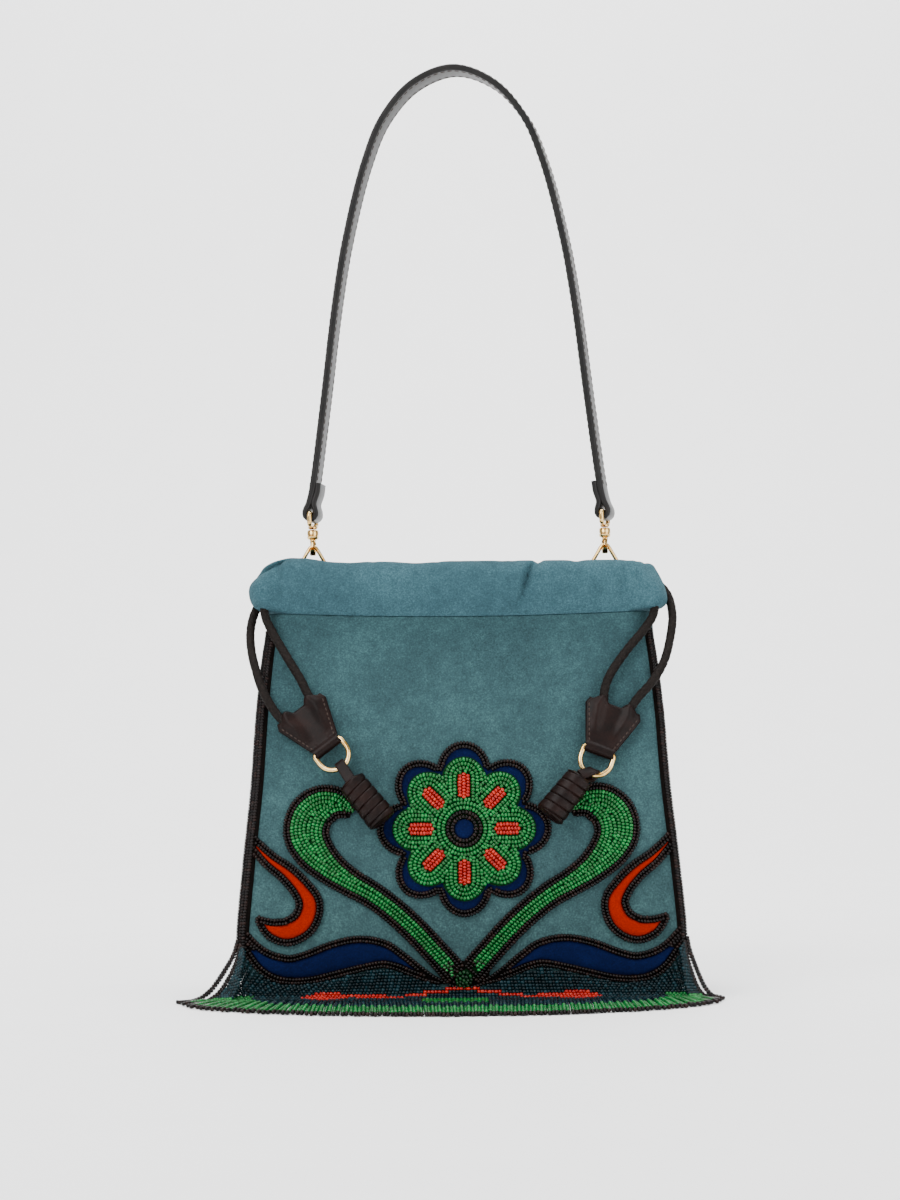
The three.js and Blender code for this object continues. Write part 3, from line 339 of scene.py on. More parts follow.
def directions(line, closed=False):
    """The unit direction of a line at each of its points."""
    if closed:
        ways = np.roll(line, -1, axis=0) - np.roll(line, 1, axis=0)
    else:
        ways = np.gradient(line, axis=0)
    return ways / np.linalg.norm(ways, axis=1)[:, None]


# %% Skins and sweeps
EDGE_STEPS = 5
# A direction that no line here starts along.
ODD_WAY = (0.3, 0.5, 0.8)


def skin(rings, loop=False, caps=True):
    """Vertices and faces of a skin over rings of equal count."""
    rings = np.asarray(rings, dtype=float)
    rows, count = rings.shape[:2]
    faces = []
    for i in range(rows if loop else rows - 1):
        here = i * count
        there = (i + 1) % rows * count
        for j in range(count):
            k = (j + 1) % count
            faces.append((here + j, here + k, there + k, there + j))
    if caps and not loop:
        faces.append(tuple(range(count))[::-1])
        faces.append(tuple(range((rows - 1) * count, rows * count)))
    return rings.reshape(-1, 3), faces


def circle(radius, sides):
    angles = np.linspace(0, 2 * math.pi, sides, endpoint=False)
    return np.stack([radius * np.cos(angles), radius * np.sin(angles)], axis=1)


def flat_section(half_wide, half_thick, edge):
    """A flat section with rounded edges: (along the width, through the thickness)."""
    angles = np.linspace(0, math.pi / 2, EDGE_STEPS)
    points = []
    for a, b, start in ((1, 1, 0), (-1, 1, 1), (-1, -1, 2), (1, -1, 3)):
        turn = angles + start * math.pi / 2
        points.append(np.column_stack([a * (half_wide - edge) + edge * np.cos(turn),
                                       b * (half_thick - edge) + edge * np.sin(turn)]))
    return np.vstack(points)


def sweep_rings(line, sections, closed=False, up=None):
    """A section of (across, out) points at each point of a line. The frame is carried along without twist, or
    keeps its first direction along `up` where that is given."""
    ways = directions(line, closed)
    if up is None:
        side = np.cross(ways[0], ODD_WAY)
    sides = []
    for way in ways:
        base = side if up is None else np.asarray(up, dtype=float)
        side = base - np.dot(base, way) * way
        side = side / np.linalg.norm(side)
        sides.append(side)
    sides = np.array(sides)
    outs = np.cross(ways, sides)
    sections = np.broadcast_to(sections, (len(line),) + np.shape(sections)[-2:])
    moved_across = sections[:, :, :1] * sides[:, None, :]
    moved_out = sections[:, :, 1:] * outs[:, None, :]
    return line[:, None, :] + moved_across + moved_out


def sheet_pair(face, back):
    """A closed skin from two grids of points that share an outline."""
    rows, count = face.shape[:2]
    faces = []
    for i in range(rows - 1):
        for j in range(count - 1):
            a = i * count + j
            faces.append((a, a + 1, a + count + 1, a + count))
    total = rows * count
    faces += [tuple(total + k for k in reversed(quad)) for quad in faces]
    rim = [*range(count), *range(2 * count - 1, total, count), *range(total - 2, total - count - 1, -1),
           *range(total - 2 * count, 0, -count)]
    for a, b in zip(rim, rim[1:] + rim[:1]):
        faces.append((a, b, total + b, total + a))
    return np.vstack([face.reshape(-1, 3), back.reshape(-1, 3)]), faces


def joined(parts):
    """Several skins as one list of vertices and faces."""
    vertices = []
    faces = []
    for part_vertices, part_faces in parts:
        start = sum(len(v) for v in vertices)
        vertices.append(part_vertices)
        faces.extend(tuple(start + i for i in face) for face in part_faces)
    return np.vstack(vertices), faces


# %% Pieces
SHARP_EDGE = math.radians(50)
MERGE_DISTANCE = 0.002


def make_object(name, vertices, faces, material):
    """A clean mesh object in metres, with its faces pointing outwards."""
    mesh = bpy.data.meshes.new(name)
    mesh.from_pydata(metres(vertices).tolist(), [], faces)
    work = bmesh.new()
    work.from_mesh(mesh)
    bmesh.ops.remove_doubles(work, verts=work.verts, dist=MERGE_DISTANCE * MM)
    bmesh.ops.recalc_face_normals(work, faces=work.faces)
    for face in work.faces:
        face.smooth = True
    for edge in work.edges:
        edge.smooth = edge.calc_face_angle(0.0) < SHARP_EDGE
    work.to_mesh(mesh)
    work.free()
    mesh.materials.append(material)
    piece = bpy.data.objects.new(name, mesh)
    bpy.context.collection.objects.link(piece)
    return piece


def settle(piece, slot, *nodes, body="bag"):
    """Ties a finished piece to its body and hides the nodes that it stands for. The slot is not used."""
    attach(piece, body)
    if nodes:
        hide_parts(*nodes)
    print(piece.name, len(piece.data.polygons), "faces")


# %% [markdown]
# ## The drawcords
# Two cords close the mouth. Each goes right through the casing, comes out at its own side under the end of
# the casing and ends in a leather tab. They are round braids, so the skin of the tube is a height map: two
# sets of strands wind opposite ways, and each lies over the other in turn. The route repeats the points of
# the model.

# %% Cord routes
CORD_RADIUS = 2.1
CORD_STRANDS = 4
CORD_PITCH = 7.5
CORD_GROOVE = 0.26
CORD_STEP = 0.45
CORD_SIDES = 32
CASING_HALF = 90.5
CASING_DEPTH = 14.0
CORD_SPACING = 40.0
CORD_ROUTES = {
    "left": {
        "level": 188.4,
        "front": [(-68, -30.8, 136.4), (-71.2, -30.2, 142.2), (-74, -29, 148), (-81, -25.4, 159.4),
                  (-87.6, -20.4, 170.6), (-90.8, -16.6, 177), (-91.4, -13.6, 182.2), (-87.6, -11.8, 187)],
        "end": [(-90, 5.5, 188.2), (-92, -1.5, 186.6), (-96, -6.6, 181.6), (-98.2, -11.5, 173.4),
                (-97.8, -18, 163.4), (-95, -24.6, 152.4), (-91.6, -29, 143), (-85.8, -30.6, 133),
                (-81, -31.4, 127.8)],
    },
    "right": {
        "level": 194.4,
        "front": [(66.4, -30.9, 135.6), (66.8, -30, 142.2), (69.6, -28.4, 149.4), (77.4, -25, 160.4),
                  (86.4, -20, 170.8), (90.6, -16.4, 177), (91.6, -14.6, 182.2), (90.2, -15.2, 187.4),
                  (85, -15.8, 191.8)],
        "end": [(90, 6.5, 194.4), (94.4, 0, 192.6), (98.6, -5, 186.8), (100.2, -10.6, 177.6),
                (98.4, -17.4, 166), (94.6, -24.4, 154.6), (88.6, -29.4, 145.4), (82.4, -29.8, 138.6),
                (78.6, -30.4, 133.4)],
    },
}
print("cords:", 2 * CORD_RADIUS, "mm across,", CORD_STRANDS, "strands each way")

# %% Drawcords
def casing_place(along):
    """Places and outward directions on the loop of the mouth, from the middle of the front to the right."""
    straight = CASING_HALF - CASING_DEPTH
    bend = math.pi * CASING_DEPTH
    around = 4 * straight + 2 * bend
    s = (np.asarray(along, dtype=float) + straight) % around
    first = s < 2 * straight
    second = (s >= 2 * straight) & (s < 2 * straight + bend)
    third = (s >= 2 * straight + bend) & (s < 4 * straight + bend)
    turn = np.select([first, second, third], [0 * s, (s - 2 * straight) / CASING_DEPTH, 0 * s + math.pi],
                     math.pi + (s - 4 * straight - bend) / CASING_DEPTH)
    centre = np.select([first, second, third], [s - straight, 0 * s + straight, 3 * straight + bend - s],
                       0 * s - straight)
    out = np.stack([np.sin(turn), -np.cos(turn)], axis=-1)
    return np.stack([centre, 0 * s], axis=-1) + CASING_DEPTH * out, out


def cord_line(side):
    route = CORD_ROUTES[side]
    straight = CASING_HALF - CASING_DEPTH
    turn = math.pi * CASING_DEPTH
    steps = np.array([-1.5, -0.5, 0.5, 1.5]) * CORD_SPACING
    bend = straight + turn * np.array([0, 0.25, 0.5, 0.75, 1])
    places, _ = casing_place(np.concatenate([steps, bend, 2 * straight + turn + steps]))
    level = np.full(len(places), route["level"])
    inside = np.column_stack([-SIDES[side] * places[:, 0], places[:, 1], level])
    return smooth_line(np.vstack([route["front"], inside, route["end"]]), CORD_STEP)


def braid_sections(count, spacing):
    """The outline of a round braid at each step along the cord."""
    angles = np.linspace(0, 2 * math.pi, CORD_SIDES, endpoint=False)
    strand = CORD_STRANDS * angles[None, :] / (2 * math.pi)
    climb = spacing * np.arange(count)[:, None] / CORD_PITCH * 2
    one = strand + climb
    other = strand - climb
    over = (np.floor(one) + np.floor(other)) % 2 < 0.5
    place = np.where(over, one % 1, other % 1)
    dome = np.sqrt(np.maximum(0, 1 - (2 * place - 1) ** 2))
    radius = CORD_RADIUS * (1 - CORD_GROOVE + CORD_GROOVE * dome)
    return np.stack([radius * np.cos(angles), radius * np.sin(angles)], axis=-1)


cord_lines = {side: cord_line(side) for side in SIDES}
cords = {}
for side, line in cord_lines.items():
    rings = sweep_rings(line, braid_sections(len(line), line_length(line) / (len(line) - 1)))
    cords[side] = make_object(f"braided_cord_{side}", *skin(rings), COTTON_CORD)
    settle(cords[side], "black_cord", f"drawcord_{side}")
    print("cord", side, round(line_length(line), 1), "mm")

# %% [markdown]
# ## The suede sack
# The body is one hollow shell of soft hide, deep at the foot and drawn in to the seam under the casing. It
# could be modelled by hand, but a table of levels says the same thing: half the width, the front and the
# back, how far they swell, the corner radii and the fold of the side gussets. A smooth curve through each
# column makes the skin. A few wide dents and small puckers under the seam show that the hide is soft.

# %% Sack rows
SACK_COLUMNS = ("level", "half", "front", "back", "swell", "front_radius", "back_radius", "fold")
SACK = dict(zip(SACK_COLUMNS, np.array([
    (0, 96, 32.5, 32.5, 0, 6, 16, 0),
    (2.5, 100.4, 36.6, 36.6, 0.3, 6, 16, 0),
    (9, 102.2, 38.4, 38.6, 0.8, 6, 16, 0.4),
    (25, 102.4, 38.6, 39.4, 1.6, 6, 16, 1.5),
    (60, 99.6, 36.4, 37.4, 2.6, 6, 16, 4),
    (100, 95.8, 31.8, 33, 3.2, 7, 15, 6.5),
    (135, 94, 26.4, 27.4, 3, 9, 15, 6.5),
    (158, 92.6, 20.8, 21.2, 2, 12, 14, 4),
    (171, 91.6, 16.6, 16.6, 0.8, 14, 14, 1.2),
    (177.2, 91.4, 14.9, 14.9, 0, 14, 14, 0),
]).T))
SACK_TOP = 177.2
SEAM_RISE = 2.2
WALL = 1.8
RING_STEPS = {"front": 84, "corner": 7, "side": 18, "back": 40}
# Wide dents in the front and back: x, z, half the width, half the height and the depth.
DENTS = [(-42, 148, 24, 15, 0.9), (30, 152, 17, 19, 0.9), (64, 126, 13, 18, 0.6), (-82, 104, 10, 24, 0.7),
         (6, 134, 30, 9, -0.5), (84, 100, 9, 20, 0.6)]
PUCKER = {"depth": 0.35, "pitch": 9.0, "fade": 9.0, "stray": 1.4, "stray_length": 17.0}
# Dents and puckers fade towards the sides. At 1 they would end at the edge. Above 1, a little is left there.
PRESS_REACH = 1.2


def through(x, xs, ys):
    """A smooth curve through the points of a table."""
    slopes = np.gradient(ys, xs)
    i = int(np.clip(np.searchsorted(xs, x) - 1, 0, len(xs) - 2))
    step = xs[i + 1] - xs[i]
    t = (x - xs[i]) / step
    near = (2 * t**3 - 3 * t**2 + 1) * ys[i] + (t**3 - 2 * t**2 + t) * step * slopes[i]
    return near + (3 * t**2 - 2 * t**3) * ys[i + 1] + (t**3 - t**2) * step * slopes[i + 1]


def sack_row(level):
    return [through(level, SACK["level"], SACK[name]) for name in SACK_COLUMNS[1:]]


def seam_rise(x, level):
    return SEAM_RISE * (x / CASING_HALF) ** 2 * (level / SACK_TOP) ** 6


def pressed(x, level, half):
    """How far the hide is pushed in by its dents and by the gathers of the seam."""
    depth = sum(d * np.exp(-((x - cx) / w) ** 2 - ((level - cz) / h) ** 2) for cx, cz, w, h, d in DENTS)
    wave = np.sin(2 * math.pi * x / PUCKER["pitch"] + PUCKER["stray"] * np.sin(x / PUCKER["stray_length"]))
    depth = depth + PUCKER["depth"] * wave * math.exp((level - SACK_TOP) / PUCKER["fade"])
    return depth * np.clip(PRESS_REACH - (x / half) ** 2, 0, 1)


print("half width of the sack:", round(sack_row(0)[0], 1), "mm at the foot and",
      round(sack_row(SACK_TOP)[0], 1), "at the top")

# %% Sack
FOOT_LEVELS = (0, 0.5, 1.2, 2.5, 4, 6, 9)
LEVEL_STEP = 2.5


def sack_ring(level, wall=0.0):
    half, front, back, swell, near, far, fold = sack_row(level)
    half, front, back, near, far = (value - wall for value in (half, front, back, near, far))
    across = np.linspace(-1, 1, RING_STEPS["front"], endpoint=False)
    behind = np.linspace(1, -1, RING_STEPS["back"], endpoint=False)
    depth = np.linspace(0, 1, RING_STEPS["side"], endpoint=False)
    quarter = np.linspace(0, math.pi / 2, RING_STEPS["corner"], endpoint=False)

    def corner(x, y, radius, start):
        return x + radius * np.cos(start + quarter), y + radius * np.sin(start + quarter)

    def gusset(sign, share):
        y = -front + near + (back - far + front - near) * share
        return sign * (half - fold * np.sin(math.pi * share) ** 2), y

    runs = [
        (across * (half - near), -front - swell * (1 - across**2)),
        corner(half - near, near - front, near, -math.pi / 2),
        gusset(1, depth),
        corner(half - far, back - far, far, 0),
        (behind * (half - far), back + swell * (1 - behind**2)),
        corner(far - half, back - far, far, math.pi / 2),
        gusset(-1, 1 - depth),
        corner(near - half, near - front, near, math.pi),
    ]
    x, y = (np.concatenate(column) for column in zip(*runs))
    y = y - np.sign(y) * pressed(x, level, half)
    return np.column_stack([x, y, level + seam_rise(x, level)])


levels = np.concatenate([FOOT_LEVELS, np.arange(12, SACK_TOP - 1, LEVEL_STEP), [SACK_TOP]])
outer_rings = [sack_ring(level) for level in levels]
inner_rings = [sack_ring(level, WALL) for level in levels[::-1] if level > WALL]
sack = make_object("suede_sack", *skin(outer_rings + inner_rings), TEAL_SUEDE)
settle(sack, "teal_suede", "bag_body")

# %% [markdown]
# ## Places on the front
# The applique, the beads and the leather fittings all lie on the front. A ray shot at the sack from the
# front finds the suede at any place, and the direction out of it, so each of them follows the swell and the
# dents.

# %% Places on the front
RAY_START = -200
NEAR_FRONT = -45
front_vertices, front_faces = skin(outer_rings, caps=False)
SUEDE_FACE = BVHTree.FromPolygons(front_vertices.tolist(), front_faces)


def on_front(spots, height):
    """Places at a height above the suede for (x, z) spots, and the directions out of it."""
    places = []
    outs = []
    for x, z in np.atleast_2d(spots):
        hit, way, _, _ = SUEDE_FACE.ray_cast(Vector((x, RAY_START, z)), Vector((0, 1, 0)))
        if hit is None:
            hit, way, _, _ = SUEDE_FACE.find_nearest(Vector((x, NEAR_FRONT, z)))
        way = way if way.y < 0 else -way
        places.append(hit)
        outs.append(way)
    places = np.array(places)
    outs = np.array(outs)
    return places + np.reshape(height, (-1, 1)) * outs, outs


# %% [markdown]
# ## The drawstring casing
# The mouth is a strip of suede folded over and sewn down, which leaves a soft tunnel for the cords. It is a
# tube whose section is pinched at the seam and full above it. The cords gather it, so creases cross it here
# and there: each is a soft valley at a place along the loop, and it makes a small dip in the top edge too.
# At the front corners the hide hangs out over the cords as a soft lobe.

# %% Casing
CASING = {"height": 26.0, "swell_out": 6.8, "swell_in": 5.0, "foot": 2.4, "gap": 0.3}
CASING_SECTIONS = 320
CASING_POINTS = 60
# Creases: place along the loop from the middle of the front, half the width, depth, dip in the top edge, and
# how far the crease leans as it climbs.
CREASES = [
    (37, 1.7, 4.2, 1.4, 20), (55, 3, 2, 0.7, 8), (79, 1.8, 2.4, 0.3, 6), (83.5, 1.5, 1.3, 0.4, 8),
    (88, 2.2, 1.7, 0.7, 10), (-20, 9, 0.6, 0.9, 4), (-55, 8, 0.5, 0.4, 4), (-73.5, 2.4, 3, 0, 81),
    (-82.5, 1.6, 3.4, 0, 6), (-78, 13, 0, -2.2, 4), (-98.5, 13, 3, 1.6, 0), (98.5, 13, 4, 1.6, 0),
    (132, 5, 1.6, 1, 4), (160, 4, 1.8, 1.2, 4), (192, 6, 1.2, 0.8, 4), (-130, 5, 1.8, 1, 4),
    (-162, 4, 1.4, 0.8, 4),
]
# How much of a crease's depth shows on the inner side.
INNER_CREASE = 0.6
# Lobes: how far the hide hangs out at each place round a corner, in degrees, and how it fades upwards.
LOBE_TURN = (38, 46, 60, 75, 90, 112)
LOBE_REACH = (0.0, 9.4, 10.4, 9.4, 7.3, 6.0, 0.0)
LOBE = {"left": {"start": 22, "middle": 0.15, "fade": 0.19, "more": 2.4},
        "right": {"start": 8, "middle": 0.07, "fade": 0.29, "more": 1.0}}
LOOP_LENGTH = 4 * (CASING_HALF - CASING_DEPTH) + 2 * math.pi * CASING_DEPTH
# Small creases anywhere round the loop, in the same columns: the least and the most of each.
SMALL_COUNT = 34
SMALL_RANGES = {"place": (0, LOOP_LENGTH), "width": (1.4, 3.2), "depth": (-0.25, 0.5), "dip": (0, 0.25)}
SMALL_LEAN = 4.0


def crease_at(along, climb, creases, column):
    """The sum of the creases; each leans over a little as it climbs."""
    total = 0
    for place, width, *rest, lean in creases:
        away = (along + lean * climb - place + LOOP_LENGTH / 2) % LOOP_LENGTH - LOOP_LENGTH / 2
        total = total + rest[column] * np.exp(-(away / width) ** 2)
    return total


def small_creases():
    chance = np.random.default_rng(5)
    columns = [chance.uniform(low, high, SMALL_COUNT) for low, high in SMALL_RANGES.values()]
    return list(zip(*columns, np.full(SMALL_COUNT, SMALL_LEAN)))


print("way round the mouth:", round(LOOP_LENGTH, 1), "mm")

# %% Casing sections
def casing_section(along, creases):
    """One section of the tunnel, from the seam up the outside, over the top and down the inside."""
    v = np.linspace(0, 1, CASING_POINTS)
    (x, y), (out_x, out_y) = casing_place(along)
    rise = SEAM_RISE * (x / CASING_HALF) ** 2
    swell = np.where(v < 0.5, CASING["swell_out"], CASING["swell_in"])
    swell = swell - crease_at(along, 0.5 - v, creases, 0) * np.where(v < 0.5, 1, INNER_CREASE)
    height = CASING["height"] - crease_at(along, 0, creases, 1) - rise
    out = CASING["foot"] / 2 * np.cos(math.pi * v) + swell * np.sin(2 * math.pi * v)
    turn = math.degrees(math.atan2(abs(out_x), -out_y))
    lobe = LOBE["left" if x < 0 else "right"]
    reach = np.interp(turn, (lobe["start"], *LOBE_TURN), LOBE_REACH) + lobe["more"]
    under = np.sqrt(1 - np.clip(1 - v / lobe["middle"], 0, 1) ** 2)
    over = 0.5 + 0.5 * np.cos(math.pi * np.clip((v - lobe["middle"]) / lobe["fade"], 0, 1))
    out = out + under * over * np.maximum(0, reach - out)
    up = SACK_TOP + CASING["gap"] + rise + height * np.sin(math.pi * v)
    return np.column_stack([x + out_x * out, y + out_y * out, up])


creases = CREASES + small_creases()
casing_steps = np.linspace(0, LOOP_LENGTH, CASING_SECTIONS, endpoint=False)
casing_rings = [casing_section(along, creases) for along in casing_steps]
casing = make_object("suede_casing", *skin(casing_rings, loop=True), LIT_CASING_SUEDE)
settle(casing, "teal_suede", "drawstring_casing")

# %% [markdown]
# ## Grains on a thread
# Beads and stitches are the same idea: a small rounded grain, again and again along a line. Copying
# thousands by hand is no work for a maker, so a Geometry Nodes tree does it. It takes points, each with the
# direction of its thread, puts one grain on each, makes their sizes a little uneven, and stores a number
# for the colour. A grain starts as a ball and is widened towards its ends, which makes it the short barrel
# that a seed bead is.


# %% Grain tree
GRAIN_SHOULDER = 2.2
GRAIN_SPREAD = 0.05
TONE_SEED = 7


def grain_tree():
    tree = bpy.data.node_groups.new("grains_on_thread", "GeometryNodeTree")
    interface = tree.interface
    interface.new_socket("Geometry", in_out="INPUT", socket_type="NodeSocketGeometry")
    for name in ("Diameter", "Length", "Spread"):
        interface.new_socket(name, in_out="INPUT", socket_type="NodeSocketFloat")
    interface.new_socket("Seed", in_out="INPUT", socket_type="NodeSocketInt")
    interface.new_socket("Material", in_out="INPUT", socket_type="NodeSocketMaterial")
    interface.new_socket("Geometry", in_out="OUTPUT", socket_type="NodeSocketGeometry")
    given = add_node(tree, "NodeGroupInput").outputs
    ball = add_node(tree, "GeometryNodeMeshUVSphere", inputs={"Segments": 8, "Rings": 4, "Radius": 0.5})
    place = add_node(tree, "GeometryNodeInputPosition").outputs["Position"]
    level = add_node(tree, "ShaderNodeSeparateXYZ", inputs={"Vector": place}).outputs["Z"]
    square = add_node(tree, "ShaderNodeMath", {"operation": "MULTIPLY"}, {0: level, 1: level})
    wider = add_node(tree, "ShaderNodeMath", {"operation": "MULTIPLY_ADD"}, {
        0: square.outputs[0], 1: GRAIN_SHOULDER, 2: 1.0})
    stretch = add_node(tree, "ShaderNodeCombineXYZ", inputs={
        "X": wider.outputs[0], "Y": wider.outputs[0], "Z": 1.0})
    squared = add_node(tree, "ShaderNodeVectorMath", {"operation": "MULTIPLY"}, {
        0: place, 1: stretch.outputs[0]})
    grain = add_node(tree, "GeometryNodeSetPosition", inputs={
        "Geometry": ball.outputs["Mesh"], "Position": squared.outputs[0]})
    thread = add_node(tree, "GeometryNodeInputNamedAttribute", {"data_type": "FLOAT_VECTOR"}, {
        "Name": "thread"})
    turn = add_node(tree, "FunctionNodeAlignRotationToVector", {"axis": "Z"},
                    {"Vector": thread.outputs["Attribute"]})
    least = add_node(tree, "ShaderNodeMath", {"operation": "SUBTRACT"}, {0: 1.0, 1: given["Spread"]})
    most = add_node(tree, "ShaderNodeMath", {"operation": "ADD"}, {0: 1.0, 1: given["Spread"]})
    uneven = add_node(tree, "FunctionNodeRandomValue", {"data_type": "FLOAT"}, {
        2: least.outputs[0], 3: most.outputs[0], "Seed": given["Seed"]})
    size = add_node(tree, "ShaderNodeCombineXYZ", inputs={
        "X": given["Diameter"], "Y": given["Diameter"], "Z": given["Length"]})
    scale = add_node(tree, "ShaderNodeVectorMath", {"operation": "SCALE"}, {
        0: size.outputs[0], "Scale": uneven.outputs[1]})
    spread = add_node(tree, "GeometryNodeInstanceOnPoints", inputs={
        "Points": given["Geometry"], "Instance": grain.outputs["Geometry"],
        "Rotation": turn.outputs["Rotation"], "Scale": scale.outputs[0]})
    tone = add_node(tree, "FunctionNodeRandomValue", {"data_type": "FLOAT"}, {
        2: 0.0, 3: 1.0, "Seed": TONE_SEED})
    toned = add_node(tree, "GeometryNodeStoreNamedAttribute", {"data_type": "FLOAT", "domain": "INSTANCE"}, {
        "Geometry": spread.outputs["Instances"], "Name": "tone", "Value": tone.outputs[1]})
    real = add_node(tree, "GeometryNodeRealizeInstances", inputs={"Geometry": toned.outputs["Geometry"]})
    smooth = add_node(tree, "GeometryNodeSetShadeSmooth", inputs={"Geometry": real.outputs["Geometry"]})
    finished = add_node(tree, "GeometryNodeSetMaterial", inputs={
        "Geometry": smooth.outputs["Geometry"], "Material": given["Material"]})
    add_node(tree, "NodeGroupOutput", inputs={"Geometry": finished.outputs["Geometry"]})
    return tree


# %% Grains
STITCH = {"diameter": 0.62, "share": 0.68}
GRAINS = grain_tree()
sockets = [item for item in GRAINS.interface.items_tree if item.in_out == "INPUT"]
GRAIN_INPUTS = {socket.name: socket.identifier for socket in sockets}


def grains(name, places, threads, material, diameter, length, seed=1):
    """One mesh with a grain at each place, its long way along the thread."""
    mesh = bpy.data.meshes.new(name)
    mesh.from_pydata(metres(places).tolist(), [], [])
    attribute = mesh.attributes.new("thread", "FLOAT_VECTOR", "POINT")
    attribute.data.foreach_set("vector", np.asarray(threads, dtype=np.float32).ravel())
    piece = bpy.data.objects.new(name, mesh)
    bpy.context.collection.objects.link(piece)
    modifier = piece.modifiers.new("grains", "NODES")
    modifier.node_group = GRAINS
    values = {"Diameter": diameter * MM, "Length": length * MM, "Spread": GRAIN_SPREAD, "Seed": seed,
              "Material": material}
    for socket, value in values.items():
        modifier[GRAIN_INPUTS[socket]] = value
    made = piece.evaluated_get(bpy.context.evaluated_depsgraph_get())
    plain = bpy.data.meshes.new_from_object(made)
    piece.modifiers.clear()
    piece.data = plain
    bpy.data.meshes.remove(mesh)
    plain.name = name
    return piece


def stitches(name, lines, pitch):
    """Short stitches along some lines, as one mesh."""
    rows = [evenly(line, pitch) for line in lines]
    ways = [directions(row) for row in rows]
    return grains(name, np.vstack(rows), np.vstack(ways), THREAD, STITCH["diameter"], pitch * STITCH["share"])


print("inputs of the grains:", list(GRAIN_INPUTS))

# %% [markdown]
# ## The tabs on the cords
# A leather tab hides both ends of each cord. It is a strip folded round the bar of the D-ring and sewn
# along its slanted edges, so it is thick where the cords go in, flat at the stitching and open in a V
# between the cords. A grid of points with a height map gives all that in one closed skin.

# %% Cord tabs
# Places on the front as (x, z): the bar and the top of each tab, and both ends of its barrel.
FITTINGS = {
    "left": {"bar": (-61.6, 116.4), "top": (-77, 136.6),
             "barrel_top": (-50.6, 100.6), "barrel_end": (-35.2, 81.4)},
    "right": {"bar": (63.6, 113.6), "top": (72.4, 136.6),
              "barrel_top": (54.4, 101.4), "barrel_end": (39.2, 83.2)},
}
LIE = {"tab_top": 3.2, "bar": 4.9, "barrel": 9.6}
TAB = {"bar_width": 6.9, "shoulder": 13.6, "neck": 11.1, "rise": 19.5, "length": 25.5, "fold": 2.7,
       "notch": 22.6, "edge": 1.0, "puff": 0.5, "back": 0.8}
# The tunnels of the two cords and the rims of the tab, as shares of half its width or of its length.
TUNNEL = {"place": 0.56, "width": 0.2, "start": 0.3, "ramp": 0.35, "height": 1.7}
RIM = {"side": 0.06, "top": 0.03}
TAB_SEAM = {"start": 3.0, "end": 18.5, "inset": 1.7, "height": 1.25, "pitch": 2.4}


def tab_frame(fit):
    (bar,), (out,) = on_front(fit["bar"], LIE["bar"])
    (top,), _ = on_front(fit["top"], LIE["tab_top"])
    up = unit(top - bar)
    right = unit(np.cross(up, out))
    return {"bar": bar, "up": up, "right": right, "out": np.cross(right, up)}


def in_frame(axes, right, up, out):
    parts = (np.asarray(value, dtype=float)[..., None] for value in np.broadcast_arrays(right, up, out))
    return axes["bar"] + sum(p * axes[name] for p, name in zip(parts, ("right", "up", "out")))


def tab_half(up):
    levels_up = [0, TAB["rise"], TAB["length"]]
    return np.interp(up, levels_up, [TAB["bar_width"], TAB["shoulder"], TAB["neck"]])


def tab_top(across):
    hump = 1 - ((np.abs(across) - TUNNEL["place"]) / (1 - TUNNEL["place"])) ** 2
    return np.maximum(TAB["notch"], TAB["rise"] + (TAB["length"] - TAB["rise"]) * hump)


# %% Tab skin
def tab_skin(axes):
    across = np.concatenate([[-1], np.linspace(-0.98, 0.98, 45), [1]])
    share = np.concatenate([[0], np.linspace(0.02, 0.98, 36), [1]])
    u, v = np.meshgrid(across, share)
    along = v * (tab_top(u) + TAB["fold"]) - TAB["fold"]
    tunnel = np.exp(-((np.abs(u) - TUNNEL["place"]) / TUNNEL["width"]) ** 2)
    tunnel = tunnel * np.clip((v - TUNNEL["start"]) / TUNNEL["ramp"], 0, 1)
    roll = TAB["fold"] * np.sqrt(np.clip(1 - (along / TAB["fold"]) ** 2, 0, 1)) * (np.abs(u) < 0.99)
    body = TAB["edge"] + TUNNEL["height"] * tunnel + TAB["puff"] * (1 - u**2)
    body = body * np.clip((1 - np.abs(u)) / RIM["side"], 0, 1) ** 0.5
    body = body * np.clip((1 - v) / RIM["top"], 0, 1) ** 0.5
    thick = np.where(along < 0, roll, np.maximum(roll, body * np.clip(0.55 + along / 6, 0, 1)))
    right = u * tab_half(np.maximum(along, 0))
    face = in_frame(axes, right, along, thick)
    back = in_frame(axes, right, along, -TAB["back"] * thick)
    return sheet_pair(face, back)


tab_axes = {side: tab_frame(fit) for side, fit in FITTINGS.items()}
tabs = {}
for side, axes in tab_axes.items():
    tabs[side] = make_object(f"leather_tab_{side}", *tab_skin(axes), BROWN_LEATHER)
    settle(tabs[side], "brown_leather", f"cord_tab_{side}")
    rise = np.linspace(TAB_SEAM["start"], TAB_SEAM["end"], 30)
    from_middle = tab_half(rise) - TAB_SEAM["inset"]
    seams = [in_frame(axes, sign * from_middle, rise, TAB_SEAM["height"]) for sign in (-1, 1)]
    tab_seams = stitches(f"tab_stitches_{side}", seams, TAB_SEAM["pitch"])
    settle(tab_seams, "brown_leather")

# %% [markdown]
# ## D-rings and wound barrels
# The ring is a bent wire, so it is a round section swept round a D. The barrel is a long strip of leather
# rolled up on itself: its side shows the steps of the roll as wraps, and its end shows a spiral. Both come
# from the same rule, a groove that climbs one pitch in each turn.

# %% D-rings
RING = {"wire": 1.2, "half": 7.4, "leg": 4.8, "bend": 1.6}
WIRE_SIDES = 14


def wire_loop(line, radius):
    return skin(sweep_rings(line, circle(radius, WIRE_SIDES), closed=True), loop=True)


